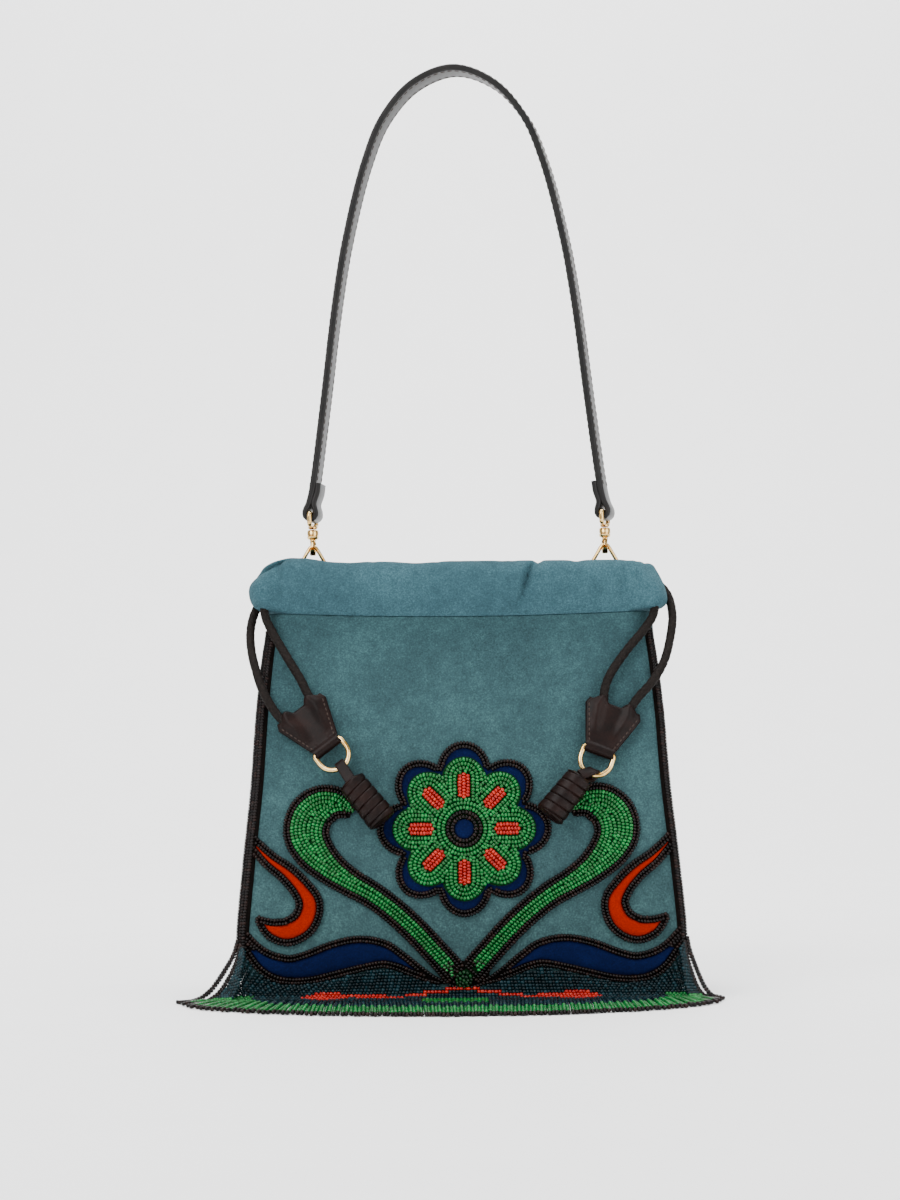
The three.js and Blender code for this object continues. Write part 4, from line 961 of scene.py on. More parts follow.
def d_ring_line(axes):
    turn = np.linspace(0, math.pi / 2, 6)
    bow = np.linspace(0, -math.pi, 30)
    corner_right = RING["half"] - RING["bend"] + RING["bend"] * np.sin(turn)
    corner_up = -RING["bend"] + RING["bend"] * np.cos(turn)
    right = np.concatenate([corner_right, RING["half"] * np.cos(bow), -corner_right[::-1]])
    up = np.concatenate([corner_up, -RING["leg"] + RING["half"] * np.sin(bow), corner_up[::-1]])
    return in_frame(axes, right, up, 0)


d_rings = {}
for side, axes in tab_axes.items():
    d_rings[side] = make_object(f"gold_d_ring_{side}", *wire_loop(d_ring_line(axes), RING["wire"]), GOLD)
    settle(d_rings[side], "gold_metal", f"d_ring_{side}")

# %% Wound barrels
BARREL = {"top": 6.4, "end": 7.2, "wrap": 4.2, "groove": 0.75, "turn": 2.3, "spiral": 0.8, "round": 1.2}
BARREL_SIDES = 44
BARREL_STEP = 0.2
THONG = {"half_wide": 2.5, "half_thick": 0.8, "edge": 0.5, "gap": 2.3}


def wrap_dome(phase):
    return 1 - np.abs(2 * (phase % 1) - 1) ** 8


def barrel_skin(top, foot):
    axis = foot - top
    length = np.linalg.norm(axis)
    axis = axis / length
    side = unit(np.cross(axis, [0, 1, 0.2]))
    other = np.cross(axis, side)
    angles = np.linspace(0, 2 * math.pi, BARREL_SIDES, endpoint=False)
    turn = angles / (2 * math.pi)
    rings = []

    def ring(radius, along):
        spoke = np.outer(np.cos(angles), side) + np.outer(np.sin(angles), other)
        rings.append(top + np.reshape(along, (-1, 1)) * axis + np.reshape(radius, (-1, 1)) * spoke)

    def end_rings(rim, along, way):
        for share in way:
            dome = wrap_dome(rim * share / BARREL["turn"] - turn)
            sunk = BARREL["spiral"] * (1 - dome)
            lift = BARREL["round"] * (1 - share**6)
            ring(rim * share + 0 * turn, along(lift - sunk))

    end_shares = np.linspace(1, 0.03, 26)
    end_rings(BARREL["top"] - BARREL["groove"], lambda lift: BARREL["round"] - lift, end_shares[::-1])
    for along in np.arange(BARREL["round"], length - BARREL["round"], BARREL_STEP):
        base = BARREL["top"] + (BARREL["end"] - BARREL["top"]) * along / length
        ring(base - BARREL["groove"] * (1 - wrap_dome(along / BARREL["wrap"] - turn)), along + 0 * turn)
    last = length - BARREL["round"]
    end_rings(BARREL["end"] - BARREL["groove"] / 2, lambda lift: last + lift, end_shares)
    return skin(rings)


# %% Thongs and barrel pieces
def thong_line(axes, top, foot):
    bow = in_frame(axes, 0, -RING["leg"] - RING["half"], 0)
    along = top + BARREL["round"] * unit(foot - top) - bow
    reach = np.linalg.norm(along)
    along = along / reach
    across = unit(np.cross(along, axes["right"]))
    angles = np.linspace(math.pi / 2, 1.5 * math.pi, 14)
    a = np.concatenate([THONG["gap"] * np.cos(angles), [reach, reach]])
    b = np.concatenate([THONG["gap"] * np.sin(angles), [-THONG["gap"], THONG["gap"]]])
    return bow + np.outer(a, along) + np.outer(b, across)


barrels = {}
for side, axes in tab_axes.items():
    fit = FITTINGS[side]
    (top, foot), _ = on_front([fit["barrel_top"], fit["barrel_end"]], LIE["barrel"])
    strip = flat_section(THONG["half_wide"], THONG["half_thick"], THONG["edge"])
    band = sweep_rings(thong_line(axes, top, foot), strip, closed=True, up=axes["right"])
    wound = joined([barrel_skin(top, foot), skin(band, loop=True)])
    barrels[side] = make_object(f"wound_barrel_{side}", *wound, BROWN_LEATHER)
    settle(barrels[side], "brown_leather", f"cord_barrel_{side}")

# %% [markdown]
# A cord bends in use, and a mesh can't say so.

# %% [markdown]
# ## The strap
# The handle is one long strip of thick leather set on edge, which bows into an arch. Its ends are thinned,
# go round the eyes of the snap hooks and are sewn back on the inside. A rounded flat section is swept along
# that route. The strip leans a little, more on the right, so the inner face shows on the left and the outer
# face on the right.

# %% Strap
STRAP = {"width": 15.0, "thick": 3.0, "thin": 2.6, "y": 4.3, "turn": 2.65, "edge": 0.9, "step": 1.2}
# How far from its ends the strap gets thicker, from and to.
STRAP_TAPER = (26, 36)
STRAP_LEAN = {"left": 0.12, "right": 0.22}
ARCH = [(69.6, 227.3), (67.9, 243), (62.8, 281), (56.8, 328), (51.6, 358), (42.4, 394), (33.6, 415),
        (19, 431.5), (0, 438.4)]
# The two layers above the eye: the strap itself and its tail, which are pressed together.
END_LAYER = [(72.0, 228.6), (70.5, 231.8), (69.0, 237)]
TAIL_LAYER = [(65.7, 241.6), (66.3, 237), (67.9, 231.8), (67.2, 228.6)]
EYE_OPEN = 0.35
STRAP_SEAM = {"inset": 1.9, "pitch": 3.4}


def strap_line():
    eye_x, eye_z = ARCH[0]
    angles = np.linspace(math.pi + EYE_OPEN, 2 * math.pi - EYE_OPEN, 9)[:, None]
    eye = np.hstack([eye_x + STRAP["turn"] * np.cos(angles), eye_z + STRAP["turn"] * np.sin(angles)])
    right_half = np.vstack([TAIL_LAYER, eye, END_LAYER, ARCH[1:]])
    flat = np.vstack([right_half, (right_half * [-1, 1])[-2::-1]])
    return smooth_line(np.column_stack([flat[:, 0], np.zeros(len(flat)), flat[:, 1]]), STRAP["step"])


print("strap with its turned-back ends:", round(line_length(strap_line())), "mm long")

# %% Strap pieces
strap_path = strap_line()
strap_ways = directions(strap_path)
strap_outs = np.cross([0, 1, 0], strap_ways)
end_x = ARCH[0][0]
strap_lean = np.interp(strap_path[:, 0], [-end_x, end_x], [STRAP_LEAN["left"], STRAP_LEAN["right"]])
strap_step = np.concatenate([[0], np.cumsum(np.linalg.norm(np.diff(strap_path, axis=0), axis=1))])
from_end = np.minimum(strap_step, strap_step[-1] - strap_step)
strap_half_thick = np.interp(from_end, STRAP_TAPER, [STRAP["thin"] / 2, STRAP["thick"] / 2])


def strap_place(index, across, out):
    place = strap_path[index] + out * strap_outs[index]
    return place + [across * strap_lean[index], across + STRAP["y"], 0]


strap_rings = []
for i in range(len(strap_path)):
    section = flat_section(STRAP["width"] / 2, strap_half_thick[i], STRAP["edge"])
    strap_rings.append(np.array([strap_place(i, a, b) for a, b in section]))
strap = make_object("leather_strap", *skin(strap_rings), BLACK_LEATHER)
settle(strap, "black_leather", "strap")
straight_run = np.flatnonzero(from_end > STRAP_TAPER[1])
seam_offset = STRAP["width"] / 2 - STRAP_SEAM["inset"]
strap_seams = [np.array([strap_place(i, a * seam_offset, b * strap_half_thick[i]) for i in straight_run])
               for a in (-1, 1) for b in (-1, 1)]
strap_thread = stitches("strap_stitches", strap_seams, STRAP_SEAM["pitch"])
settle(strap_thread, "black_leather")

# %% [markdown]
# ## Snap hooks, triangle rings and their tabs
# Each strap end has a gilt snap hook: a wire eye, a swivel barrel, a claw and a sprung gate. The claw holds
# a triangle ring, and a leather loop sewn inside the mouth holds that. Turned parts are a profile spun
# about their axis, and bent parts are a section swept along a line. The gate is its own piece because it
# swings.

# %% Hooks
HOOK_X = 69.6
EYE = {"half": 9.4, "top": 227.3, "shoulder": 222.0, "foot": 221.4, "collar": 2.2, "wire": 1.1, "bend": 1.6,
       "foot_bend": 0.3}
CLAW = {"centre": 211.6, "radius": 3.25, "half_thick": 0.85, "half_wide": 1.4, "edge": 0.55, "lug": 138.0,
        "nose": -160.0}
# The claw's thickness along its length: shares of the way and of the full section.
CLAW_TAPER = ([0, 0.08, 0.85, 1], [0.8, 1, 1, 0.72])
GATE = {"angle": 118.0, "length": 3.4, "half_wide": 0.55, "half_thick": 0.6, "edge": 0.25}
# Turned parts as (radius, place along the axis): the collar under the eye, the swivel and the gate's head.
COLLAR = [(0.05, 220.1), (1.7, 220.1), (2.2, 220.5), (2.2, 221.5), (1.7, 222.0), (0.05, 222.1)]
SWIVEL = [(0.05, 215.2), (2.0, 215.2), (2.6, 215.7), (2.7, 216.6), (2.45, 216.8), (2.45, 217.1), (2.7, 217.3),
          (2.7, 219.0), (2.4, 219.6), (1.9, 219.8), (0.05, 219.8)]
GATE_HEAD = [(0.05, -0.55), (0.85, -0.55), (1.1, -0.3), (1.1, 0.3), (0.85, 0.55), (0.05, 0.55)]
SPIN_SIDES = 24
BEND_STEPS = 7


def spun(profile, centre, axis="z"):
    """A closed skin from (radius, along) points spun about an upright or a crosswise axis."""
    angles = np.linspace(0, 2 * math.pi, SPIN_SIDES, endpoint=False)
    rings = []
    for radius, along in profile:
        a = radius * np.cos(angles)
        b = radius * np.sin(angles)
        c = np.full(SPIN_SIDES, along)
        rings.append(np.column_stack([a, b, c] if axis == "z" else [c, a, b]) + centre)
    return skin(rings)


def rounded_loop(corners):
    """A closed outline through (a, b, bend) corners."""
    spots = np.array([corner[:2] for corner in corners], dtype=float)
    points = []
    for i, (_, _, bend) in enumerate(corners):
        back = unit(spots[i - 1] - spots[i])
        ahead = unit(spots[(i + 1) % len(spots)] - spots[i])
        reach = bend / math.tan(math.acos(np.clip(back @ ahead, -1, 1)) / 2)
        for t in np.linspace(0, 1, BEND_STEPS):
            points.append((1 - t) ** 2 * (spots[i] + reach * back) + 2 * t * (1 - t) * spots[i]
                          + t**2 * (spots[i] + reach * ahead))
    return np.array(points)


print("a hook is about", round(EYE["top"] - CLAW["centre"] + CLAW["radius"]), "mm tall")

# %% Eyes, claws and gates
def eye_skin(x, lean):
    half = EYE["half"]
    corners = [(-half, EYE["top"], EYE["bend"]), (half, EYE["top"], EYE["bend"]),
               (half, EYE["shoulder"], EYE["bend"]), (EYE["collar"], EYE["foot"], EYE["foot_bend"]),
               (-EYE["collar"], EYE["foot"], EYE["foot_bend"]), (-half, EYE["shoulder"], EYE["bend"])]
    flat = rounded_loop(corners)
    line = np.column_stack([x + lean * flat[:, 0], STRAP["y"] + flat[:, 0], flat[:, 1]])
    return joined([wire_loop(line, EYE["wire"]), spun(COLLAR, [x, STRAP["y"], 0])])


def claw_skin(x):
    angles = np.radians(np.linspace(CLAW["lug"], CLAW["nose"], 46))
    line = np.column_stack([np.full(len(angles), x), STRAP["y"] + CLAW["radius"] * np.cos(angles),
                            CLAW["centre"] + CLAW["radius"] * np.sin(angles)])
    taper = np.interp(np.linspace(0, 1, len(angles)), *CLAW_TAPER)
    sections = [flat_section(CLAW["half_wide"] * t, CLAW["half_thick"] * t, CLAW["edge"] * t) for t in taper]
    hook = skin(sweep_rings(line, np.array(sections), up=[1, 0, 0]))
    return joined([spun(SWIVEL, [x, STRAP["y"], 0]), hook])


def gate_skin(x):
    def spot(degrees):
        angle = math.radians(degrees)
        return np.array([x, STRAP["y"] + CLAW["radius"] * math.cos(angle),
                         CLAW["centre"] + CLAW["radius"] * math.sin(angle)])

    pivot = spot(GATE["angle"])
    way = unit(spot(CLAW["nose"]) - pivot)
    line = evenly(np.array([pivot, pivot + GATE["length"] * way]), 0.4)
    section = flat_section(GATE["half_wide"], GATE["half_thick"], GATE["edge"])
    bar = skin(sweep_rings(line, section, up=[1, 0, 0]))
    return joined([bar, spun(GATE_HEAD, pivot, axis="x")])


# %% Hook pieces
for side, sign in SIDES.items():
    eye = make_object(f"gold_hook_eye_{side}", *eye_skin(sign * HOOK_X, STRAP_LEAN[side]), GOLD)
    settle(eye, "gold_metal", f"hook_eye_{side}")
    claw = make_object(f"gold_hook_claw_{side}", *claw_skin(sign * HOOK_X), GOLD)
    settle(claw, "gold_metal", f"hook_claw_{side}")
    gate = make_object(f"gold_hook_gate_{side}", *gate_skin(sign * HOOK_X), GOLD)
    settle(gate, "gold_metal", f"hook_gate_{side}", body=f"gate_{side}")

# %% Triangle rings and their tabs
TRIANGLE = {"wire": 0.9, "y": 5.0, "peak": 214.0, "foot": 199.3, "half": 8.4, "bend": 1.6, "peak_bend": 2.6}
RING_TAB = {"width": 11.0, "skin": 1.3, "edge": 0.4, "drop": 17.0, "turn": 1.85, "straight": 8.0,
            "slack": 0.3, "wrap": 1.3 * math.pi}
# How far under the ring's foot the tail bends back on the tab, from and to.
TAIL_BEND = (3.4, 6.0)


def ring_tab_line(x):
    angles = np.linspace(0, RING_TAB["wrap"], 16)
    y = TRIANGLE["y"] + RING_TAB["turn"] * np.cos(angles)
    z = TRIANGLE["foot"] + RING_TAB["turn"] * np.sin(angles)
    back = TRIANGLE["y"] + RING_TAB["turn"]
    inner = back - RING_TAB["skin"]
    low = TRIANGLE["foot"] - RING_TAB["drop"]
    y = np.concatenate([[back, back], y, [inner - RING_TAB["slack"], inner, inner]])
    bend_from, bend_to = (TRIANGLE["foot"] - drop for drop in TAIL_BEND)
    z = np.concatenate([[low, low + RING_TAB["straight"]], z, [bend_from, bend_to, low]])
    return np.column_stack([np.full(len(y), x), y, z])


for side, sign in SIDES.items():
    feet = [(x, TRIANGLE["foot"], TRIANGLE["bend"]) for x in (-TRIANGLE["half"], TRIANGLE["half"])]
    flat = rounded_loop(feet + [(0, TRIANGLE["peak"], TRIANGLE["peak_bend"])])
    line = np.column_stack([sign * HOOK_X + flat[:, 0], np.full(len(flat), TRIANGLE["y"]), flat[:, 1]])
    ring = make_object(f"gold_triangle_ring_{side}", *wire_loop(line, TRIANGLE["wire"]), GOLD)
    settle(ring, "gold_metal", f"triangle_ring_{side}")
    strip = flat_section(RING_TAB["width"] / 2, RING_TAB["skin"] / 2, RING_TAB["edge"])
    loop = skin(sweep_rings(ring_tab_line(sign * HOOK_X), strip, up=[1, 0, 0]))
    ring_tab = make_object(f"leather_ring_tab_{side}", *loop, BROWN_LEATHER)
    settle(ring_tab, "brown_leather", f"ring_tab_{side}")

# %% [markdown]
# ## Applique
# The flower's ground, the crescents and the leaves are cut from thin coloured suede and sewn on, and their
# raw edges are hidden by beads. On the model each motif is a curved band: a middle line and half its width.
# The same bands are used here, and their cloth is a grid laid on the front, a little puffed in the middle.
# Under each lies a dark felt of the full outline, on which the two outer rows of beads are sewn. Under the
# green beads lies a dark green sheet: painted shade, for the gaps between the beads.

# %% Motifs
FLOWER = {"x": 1.2, "z": 78.6, "lobes": 8, "round": 0.8, "tip": 40.4, "valley": 31.8, "petal_tip": 33.2,
          "petal_valley": 26.4, "eye": 4.6}
ROPE = {"radius": 1.6, "top": 171.0, "foot": 24.0, "proud": 2.2, "gap": 0.3}
# Bands on the right of the front, as (x, z, half the width) along their middle lines.
SCROLL = [(50, 87.6, 4.4), (56.6, 90.4, 7.8), (64.2, 89.4, 10), (70, 84.2, 10.8), (71.4, 76.4, 10.8),
          (67.6, 68.4, 9.6), (60, 60.6, 7.8), (51, 54.4, 6.7), (41, 48.6, 6.25), (31.4, 41.4, 6.2),
          (22, 32.8, 6.2), (13.4, 23.6, 6.2), (7, 16.6, 6.2), (2.6, 11.6, 6.2)]
CRESCENT = [(101, 81, 3.4), (96, 73, 3.5), (88.6, 65, 4.4), (80.6, 58.9, 5.0), (73.8, 51.6, 5.6),
            (70.2, 44.4, 6.6), (72.8, 36.4, 6.9), (79.8, 32.2, 6.8), (86.6, 33, 5.6), (91.6, 36, 3.4),
            (94.6, 39, 1.4)]
LEAF = [(101.6, 31.2, 3.4), (96.4, 24, 4.5), (91.2, 18.8, 5.9), (85.4, 15.8, 6.7), (78.4, 14.7, 7),
        (69.4, 16.2, 7.8), (58, 19.7, 8.6), (47, 22, 8.4), (37, 21.8, 6.8), (29.6, 18.8, 5), (23, 15, 3.8),
        (15.5, 10.9, 2.4), (9, 8.4, 1.5)]
print("the flower is", 2 * FLOWER["tip"], "mm across")

# %% Bands
BAND_STEPS = 160


def rope_spot(level):
    half, front, _, _, near, _, _ = sack_row(level)
    reach = (near + ROPE["proud"]) * math.sqrt(0.5)
    return half - near + reach, near - front - reach


def band_rows(rows, steps):
    """The middle, the direction across and half the width at even steps along a band."""
    table = np.array(rows, dtype=float)
    index = np.arange(len(table))
    dense = np.array([[through(t, index, column) for column in table.T]
                      for t in np.linspace(0, len(table) - 1, steps)])
    ways = directions(dense[:, :2])
    across = np.column_stack([-ways[:, 1], ways[:, 0]])
    return dense[:, :2], across, dense[:, 2]


ROPE_LEVELS = np.arange(0, 172, 4)
ROPE_ACROSS = np.array([rope_spot(level)[0] for level in ROPE_LEVELS])


def room_to_rope(spots):
    """How far (x, z) spots are from the middle of the edge rope, towards the middle of the bag."""
    return np.interp(spots[:, 1], ROPE_LEVELS, ROPE_ACROSS) - np.abs(spots[:, 0])


def inside_ropes(spots):
    over = ROPE["radius"] + ROPE["gap"] - room_to_rope(spots)
    return spots - np.column_stack([np.maximum(over, 0), np.zeros(len(spots))])


def band_outline(rows, sign, past_rope):
    """The closed outline of a band, on the right or mirrored to the left. Some run on past the edge rope."""
    table = np.array(rows, dtype=float)
    if past_rope:
        table = np.vstack([2 * table[0] - table[1], table])
    middle, across, half = band_rows(table, BAND_STEPS)
    edge = across * half[:, None]
    return np.vstack([middle + edge, (middle - edge)[::-1]]) * [sign, 1]


def flower_radius(angles, tip, valley):
    return valley + (tip - valley) * np.abs(np.cos(FLOWER["lobes"] / 2 * angles)) ** FLOWER["round"]


def flower_outline(tip, valley):
    angles = np.linspace(0, 2 * math.pi, 480, endpoint=False)
    radius = flower_radius(angles, tip, valley)
    return np.column_stack([FLOWER["x"] + radius * np.cos(angles), FLOWER["z"] + radius * np.sin(angles)])


print("a rope is", round(ROPE_ACROSS[0], 1), "mm from the middle at the foot and",
      round(ROPE_ACROSS[-1], 1), "near the top")

# %% Patches
PATCH_LOW = 0.1
PATCH_ROWS = 70
PATCH_COLUMNS = 13
# Over how many rows a band's cloth rises at its ends, and the least half width at which it has any.
PATCH_END = 4
LEAST_HALF = 0.2
DISC_SHARES = np.linspace(0.04, 1, 20)
# Each layer of cloth: how far inside the outline it ends, and the heights of its edge and its middle.
BASE_FELT = (0.5, 0.25, 0.45)
BAND_SUEDE = (3.4, 0.5, 1.5)
GROUND_SUEDE = (3.2, 0.5, 1.3)
# The green sheets under the scroll and petal beads are painted shade for the gaps between the beads.
GREEN_SHADE_BASE = (3.2, 0.45, 0.7)
PETAL_SHADE_BASE = (0.0, 1.3, 1.5)
EYE_SUEDE = (0.0, 1.5, 2.1)


def band_patch(rows, sign, inset, low, high):
    middle, across, half = band_rows(rows, 400)
    wide = np.flatnonzero(half > inset + LEAST_HALF)
    picked = np.linspace(wide[0], wide[-1], PATCH_ROWS).astype(int)
    shares = np.linspace(-1, 1, PATCH_COLUMNS)
    reach = across[picked] * (half[picked] - inset)[:, None]
    grid = np.stack([inside_ropes(middle[picked] + s * reach) for s in shares], axis=1) * [sign, 1]
    from_start = np.arange(PATCH_ROWS)
    ends = np.clip(np.minimum(from_start, from_start[::-1]) / PATCH_END, 0, 1)
    heights = low + (high - low) * np.outer(ends, 1 - shares**4)
    flat = grid.reshape(-1, 2)
    face, _ = on_front(flat, heights.reshape(-1))
    back, _ = on_front(flat, np.full(len(flat), PATCH_LOW))
    shape = (PATCH_ROWS, PATCH_COLUMNS, 3)
    return sheet_pair(face.reshape(shape), back.reshape(shape))


def disc_patch(outline, inset, low, high):
    """A cloth of a round outline, as rings from the middle of its back to the middle of its face."""
    centre = outline.mean(axis=0)
    spokes = outline - centre
    lengths = np.linalg.norm(spokes, axis=1)[:, None]
    spokes = spokes * (lengths - inset) / lengths
    rings = [on_front(centre + share * spokes, PATCH_LOW)[0] for share in DISC_SHARES]
    for share in DISC_SHARES[::-1]:
        height = low + (high - low) * (1 - share**8)
        rings.append(on_front(centre + share * spokes, height)[0])
    return skin(rings)


def ring_line(radius):
    angles = np.linspace(0, 2 * math.pi, 181)
    return np.column_stack([radius * np.cos(angles), radius * np.sin(angles)])


# %% Patch pieces
ground_edge = flower_outline(FLOWER["tip"], FLOWER["valley"])
petal_edge = flower_outline(FLOWER["petal_tip"], FLOWER["petal_valley"])
eye_edge = ring_line(FLOWER["eye"])[:-1:5] + [FLOWER["x"], FLOWER["z"]]
under = make_object("dark_flower_felt", *disc_patch(ground_edge[::3], *BASE_FELT), DARK_FELT)
settle(under, "brown_beads")
ground = make_object("navy_flower_ground", *disc_patch(ground_edge[::3], *GROUND_SUEDE), NAVY_SUEDE)
settle(ground, "navy_suede", "flower_ground")
# A dark green sheet under the petals: painted shade between the beads.
petal_shade_felt = make_object("green_petal_shade_felt", *disc_patch(petal_edge[::3], *PETAL_SHADE_BASE), GREEN_SHADE_FELT)
settle(petal_shade_felt, "green_beads")
flower_eye = make_object("navy_flower_eye", *disc_patch(eye_edge, *EYE_SUEDE), NAVY_SUEDE)
settle(flower_eye, "navy_suede")
for side, sign in SIDES.items():
    bases = joined([band_patch(rows, sign, *BASE_FELT) for rows in (SCROLL, CRESCENT, LEAF)])
    settle(make_object(f"dark_band_felt_{side}", *bases, DARK_FELT), "brown_beads")
    crescent = make_object(f"orange_crescent_{side}", *band_patch(CRESCENT, sign, *BAND_SUEDE), ORANGE_SUEDE)
    settle(crescent, "orange_suede", f"crescent_{side}")
    leaf = make_object(f"navy_leaf_{side}", *band_patch(LEAF[1:], sign, *BAND_SUEDE), NAVY_SUEDE)
    settle(leaf, "navy_suede", f"leaf_{side}")
    # A dark green sheet under the scroll: painted shade between the beads.
    felt = make_object(f"green_scroll_shade_felt_{side}", *band_patch(SCROLL, sign, *GREEN_SHADE_BASE), GREEN_SHADE_FELT)
    settle(felt, "green_beads")

# %% [markdown]
# ## Rows of beads
# Beadwork like this is laid in rows that follow the outline, from the edge inwards. So each row here is the
# outline moved in by the width of a bead. Where a band is too narrow for another row, the moved line
# crosses itself, and those stretches are dropped. A bead that would overlap one already laid is left out,
# and last of all single beads fill the gaps.

# %% Bead rows
BEAD = {"diameter": 2.05, "length": 1.5, "pitch": 1.52, "row": 1.95}
DARK_BEAD = {"diameter": 1.85, "length": 1.42, "pitch": 1.44, "row": 1.75}
JOIN_GAP = 1.6
LEAST_GAP = 1.3
GAP_ROOM = 1.36
ROPE_ROOM = 2.4
OUTLINE_STEP = 0.3
# A moved spot nearer to the outline than this share of its depth is on a stretch that crosses.
CROSSING = 0.97
LEAST_RUN = 5
# How many of the last beads laid are looked at for an overlap.
LOOK_BACK = 1200
THREAD_STEP = 0.4


def closed_line(outline, spacing):
    return evenly(np.vstack([outline, outline[:1]]), spacing)[:-1]


def moved_in(outline, depth):
    """The open runs of an outline moved inwards, without the stretches that cross."""
    base = closed_line(outline, OUTLINE_STEP)
    ways = directions(base, closed=True)
    area = np.sum(base[:, 0] * np.roll(base[:, 1], -1) - np.roll(base[:, 0], -1) * base[:, 1])
    inward = np.column_stack([-ways[:, 1], ways[:, 0]]) * np.sign(area)
    moved = base + depth * inward
    nearest = np.array([np.min(np.hypot(*(base - spot).T)) for spot in moved])
    keep = nearest > CROSSING * depth
    if keep.all():
        return [np.vstack([moved, moved[:1]])]
    start = int(np.flatnonzero(~keep)[0])
    moved = np.roll(moved, -start, axis=0)
    keep = np.roll(keep, -start)
    edges = np.flatnonzero(np.diff(np.concatenate([[0], keep.astype(int), [0]])))
    runs = [moved[a:b] for a, b in zip(edges[::2], edges[1::2])]
    merged = []
    for run in runs:
        if merged and np.hypot(*(run[0] - merged[-1][-1])) < JOIN_GAP:
            merged[-1] = np.vstack([merged[-1], run])
        else:
            merged.append(run)
    return [run for run in merged if len(run) > LEAST_RUN]


print("beads in 100 mm of a row:", round(100 / BEAD["pitch"]))

# %% Beads along rows
def threaded(lines, pitch):
    """Spots at the bead pitch on some lines, with the direction of the thread at each."""
    spots = []
    ways = []
    for line in lines:
        row = evenly(line, pitch)
        way = directions(row)
        last = len(row) - 1 if np.allclose(line[0], line[-1]) else len(row)
        spots.append(row[:last])
        ways.append(way[:last])
    return np.vstack(spots), np.vstack(ways)


def thinned(spots, ways, laid_before=()):
    """Leaves out each bead that would overlap one already laid."""
    kept = []
    taken = [np.asarray(spot) for spot in laid_before]
    for i, spot in enumerate(spots):
        near = taken[-LOOK_BACK:]
        if not near or np.min(np.hypot(*(np.array(near) - spot).T)) > LEAST_GAP:
            kept.append(i)
            taken.append(spot)
    return spots[kept], ways[kept]


def gap_beads(spots, ways, laid):
    """Single beads for the gaps that rows leave: the spots that are clear of every bead laid so far."""
    room = np.array([np.min(np.hypot(*(laid - spot).T)) for spot in spots])
    clear = room > GAP_ROOM
    return thinned(spots[clear], ways[clear])


def outline_beads(outlines):
    """Two rows of dark beads just inside each outline, as far as the edge rope."""
    lines = []
    for outline in outlines:
        for row in (0.5, 1.5):
            lines += moved_in(outline, row * DARK_BEAD["row"])
    spots, ways = threaded(lines, DARK_BEAD["pitch"])
    kept = room_to_rope(spots) > ROPE_ROOM
    return spots[kept], ways[kept]


def bead_piece(name, bead, spots, ways, height, material, slot, *nodes, seed=1):
    """Beads on the front, threaded along their rows."""
    places, _ = on_front(spots, height)
    ahead, _ = on_front(spots + THREAD_STEP * ways, height)
    piece = grains(name, places, ahead - places, material, bead["diameter"], bead["length"], seed=seed)
    settle(piece, slot, *nodes)
    print(name, len(places), "beads")


# %% [markdown]
# ## Dark outlines and green scrolls
# Two rows of dark brown beads edge every motif. Inside its two dark rows each scroll is filled with green
# rows, up to eight abreast in the round head and three in the stem. The stems and the leaves run together
# in a dark knot of beads at the foot, with a small green button on it.

# %% Outlines and scrolls
EDGE_HEIGHT = 1.4
FILL_HEIGHT = 1.35
FILL_START = 4.25
FILL_ROW = 1.85
FILL_ROWS = 4
KNOT = {"x": 0.5, "z": 9.9, "rings": (0.0, 1.8, 3.3), "pitch": 1.7, "clear": 4.5, "height": 3.2, "dome": 0.12}
KNOT_THREAD = (1.0, 0.0, 0.3)
KNOT_GROUND = {"x": 0.8, "z": 12.4, "half": 12.0, "tall": 6.4, "rows": 7}
FILL_CLEAR = 5.2
# The leaf's corner at the rope is packed with beads whose threads run this way.
CORNER_THREAD = (0.6, 0.8)


def with_more(spots, ways, more):
    return np.vstack([spots, more[0]]), np.vstack([ways, more[1]])


def off_knot(spots):
    return np.hypot(*(spots - [KNOT["x"], KNOT["z"]]).T) > KNOT["clear"]


def dark_rows(scroll, sign):
    """The dark beads of one side: two rows round each motif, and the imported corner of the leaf."""
    outlines = [scroll, band_outline(CRESCENT, sign, True), band_outline(LEAF, sign, True)]
    spots, ways = thinned(*outline_beads(outlines))
    corner, across, half = band_rows(LEAF[:2], 40)
    packed = np.vstack([corner + share * half[:, None] * across for share in np.linspace(-0.8, 0.8, 25)])
    packed = packed[room_to_rope(packed) > ROPE_ROOM] * [sign, 1]
    threads = np.tile([CORNER_THREAD[0] * sign, CORNER_THREAD[1]], (len(packed), 1))
    spots, ways = with_more(spots, ways, gap_beads(packed, threads, spots))
    own_side = sign * (spots[:, 0] - KNOT["x"]) > DARK_BEAD["diameter"] / 2
    kept = own_side & off_knot(spots)
    return spots[kept], ways[kept]


def green_rows(scroll, sign):
    """The green beads of one scroll: rows from its edge inwards, then single beads in the gaps."""
    lines = [run for row in range(FILL_ROWS) for run in moved_in(scroll, FILL_START + row * FILL_ROW)]
    spots, ways = thinned(*threaded(lines, BEAD["pitch"]))
    middle, across, half = band_rows(SCROLL, 300)
    reach = across * np.maximum(half - FILL_START, 0)[:, None]
    shares = np.linspace(-1, 1, 21)
    between = np.vstack([middle + share * reach for share in shares]) * [sign, 1]
    along = np.vstack([directions(middle)] * len(shares)) * [sign, 1]
    spots, ways = with_more(spots, ways, gap_beads(between, along, spots))
    kept = sign * (spots[:, 0] - KNOT["x"]) > FILL_CLEAR
    return spots[kept], ways[kept]


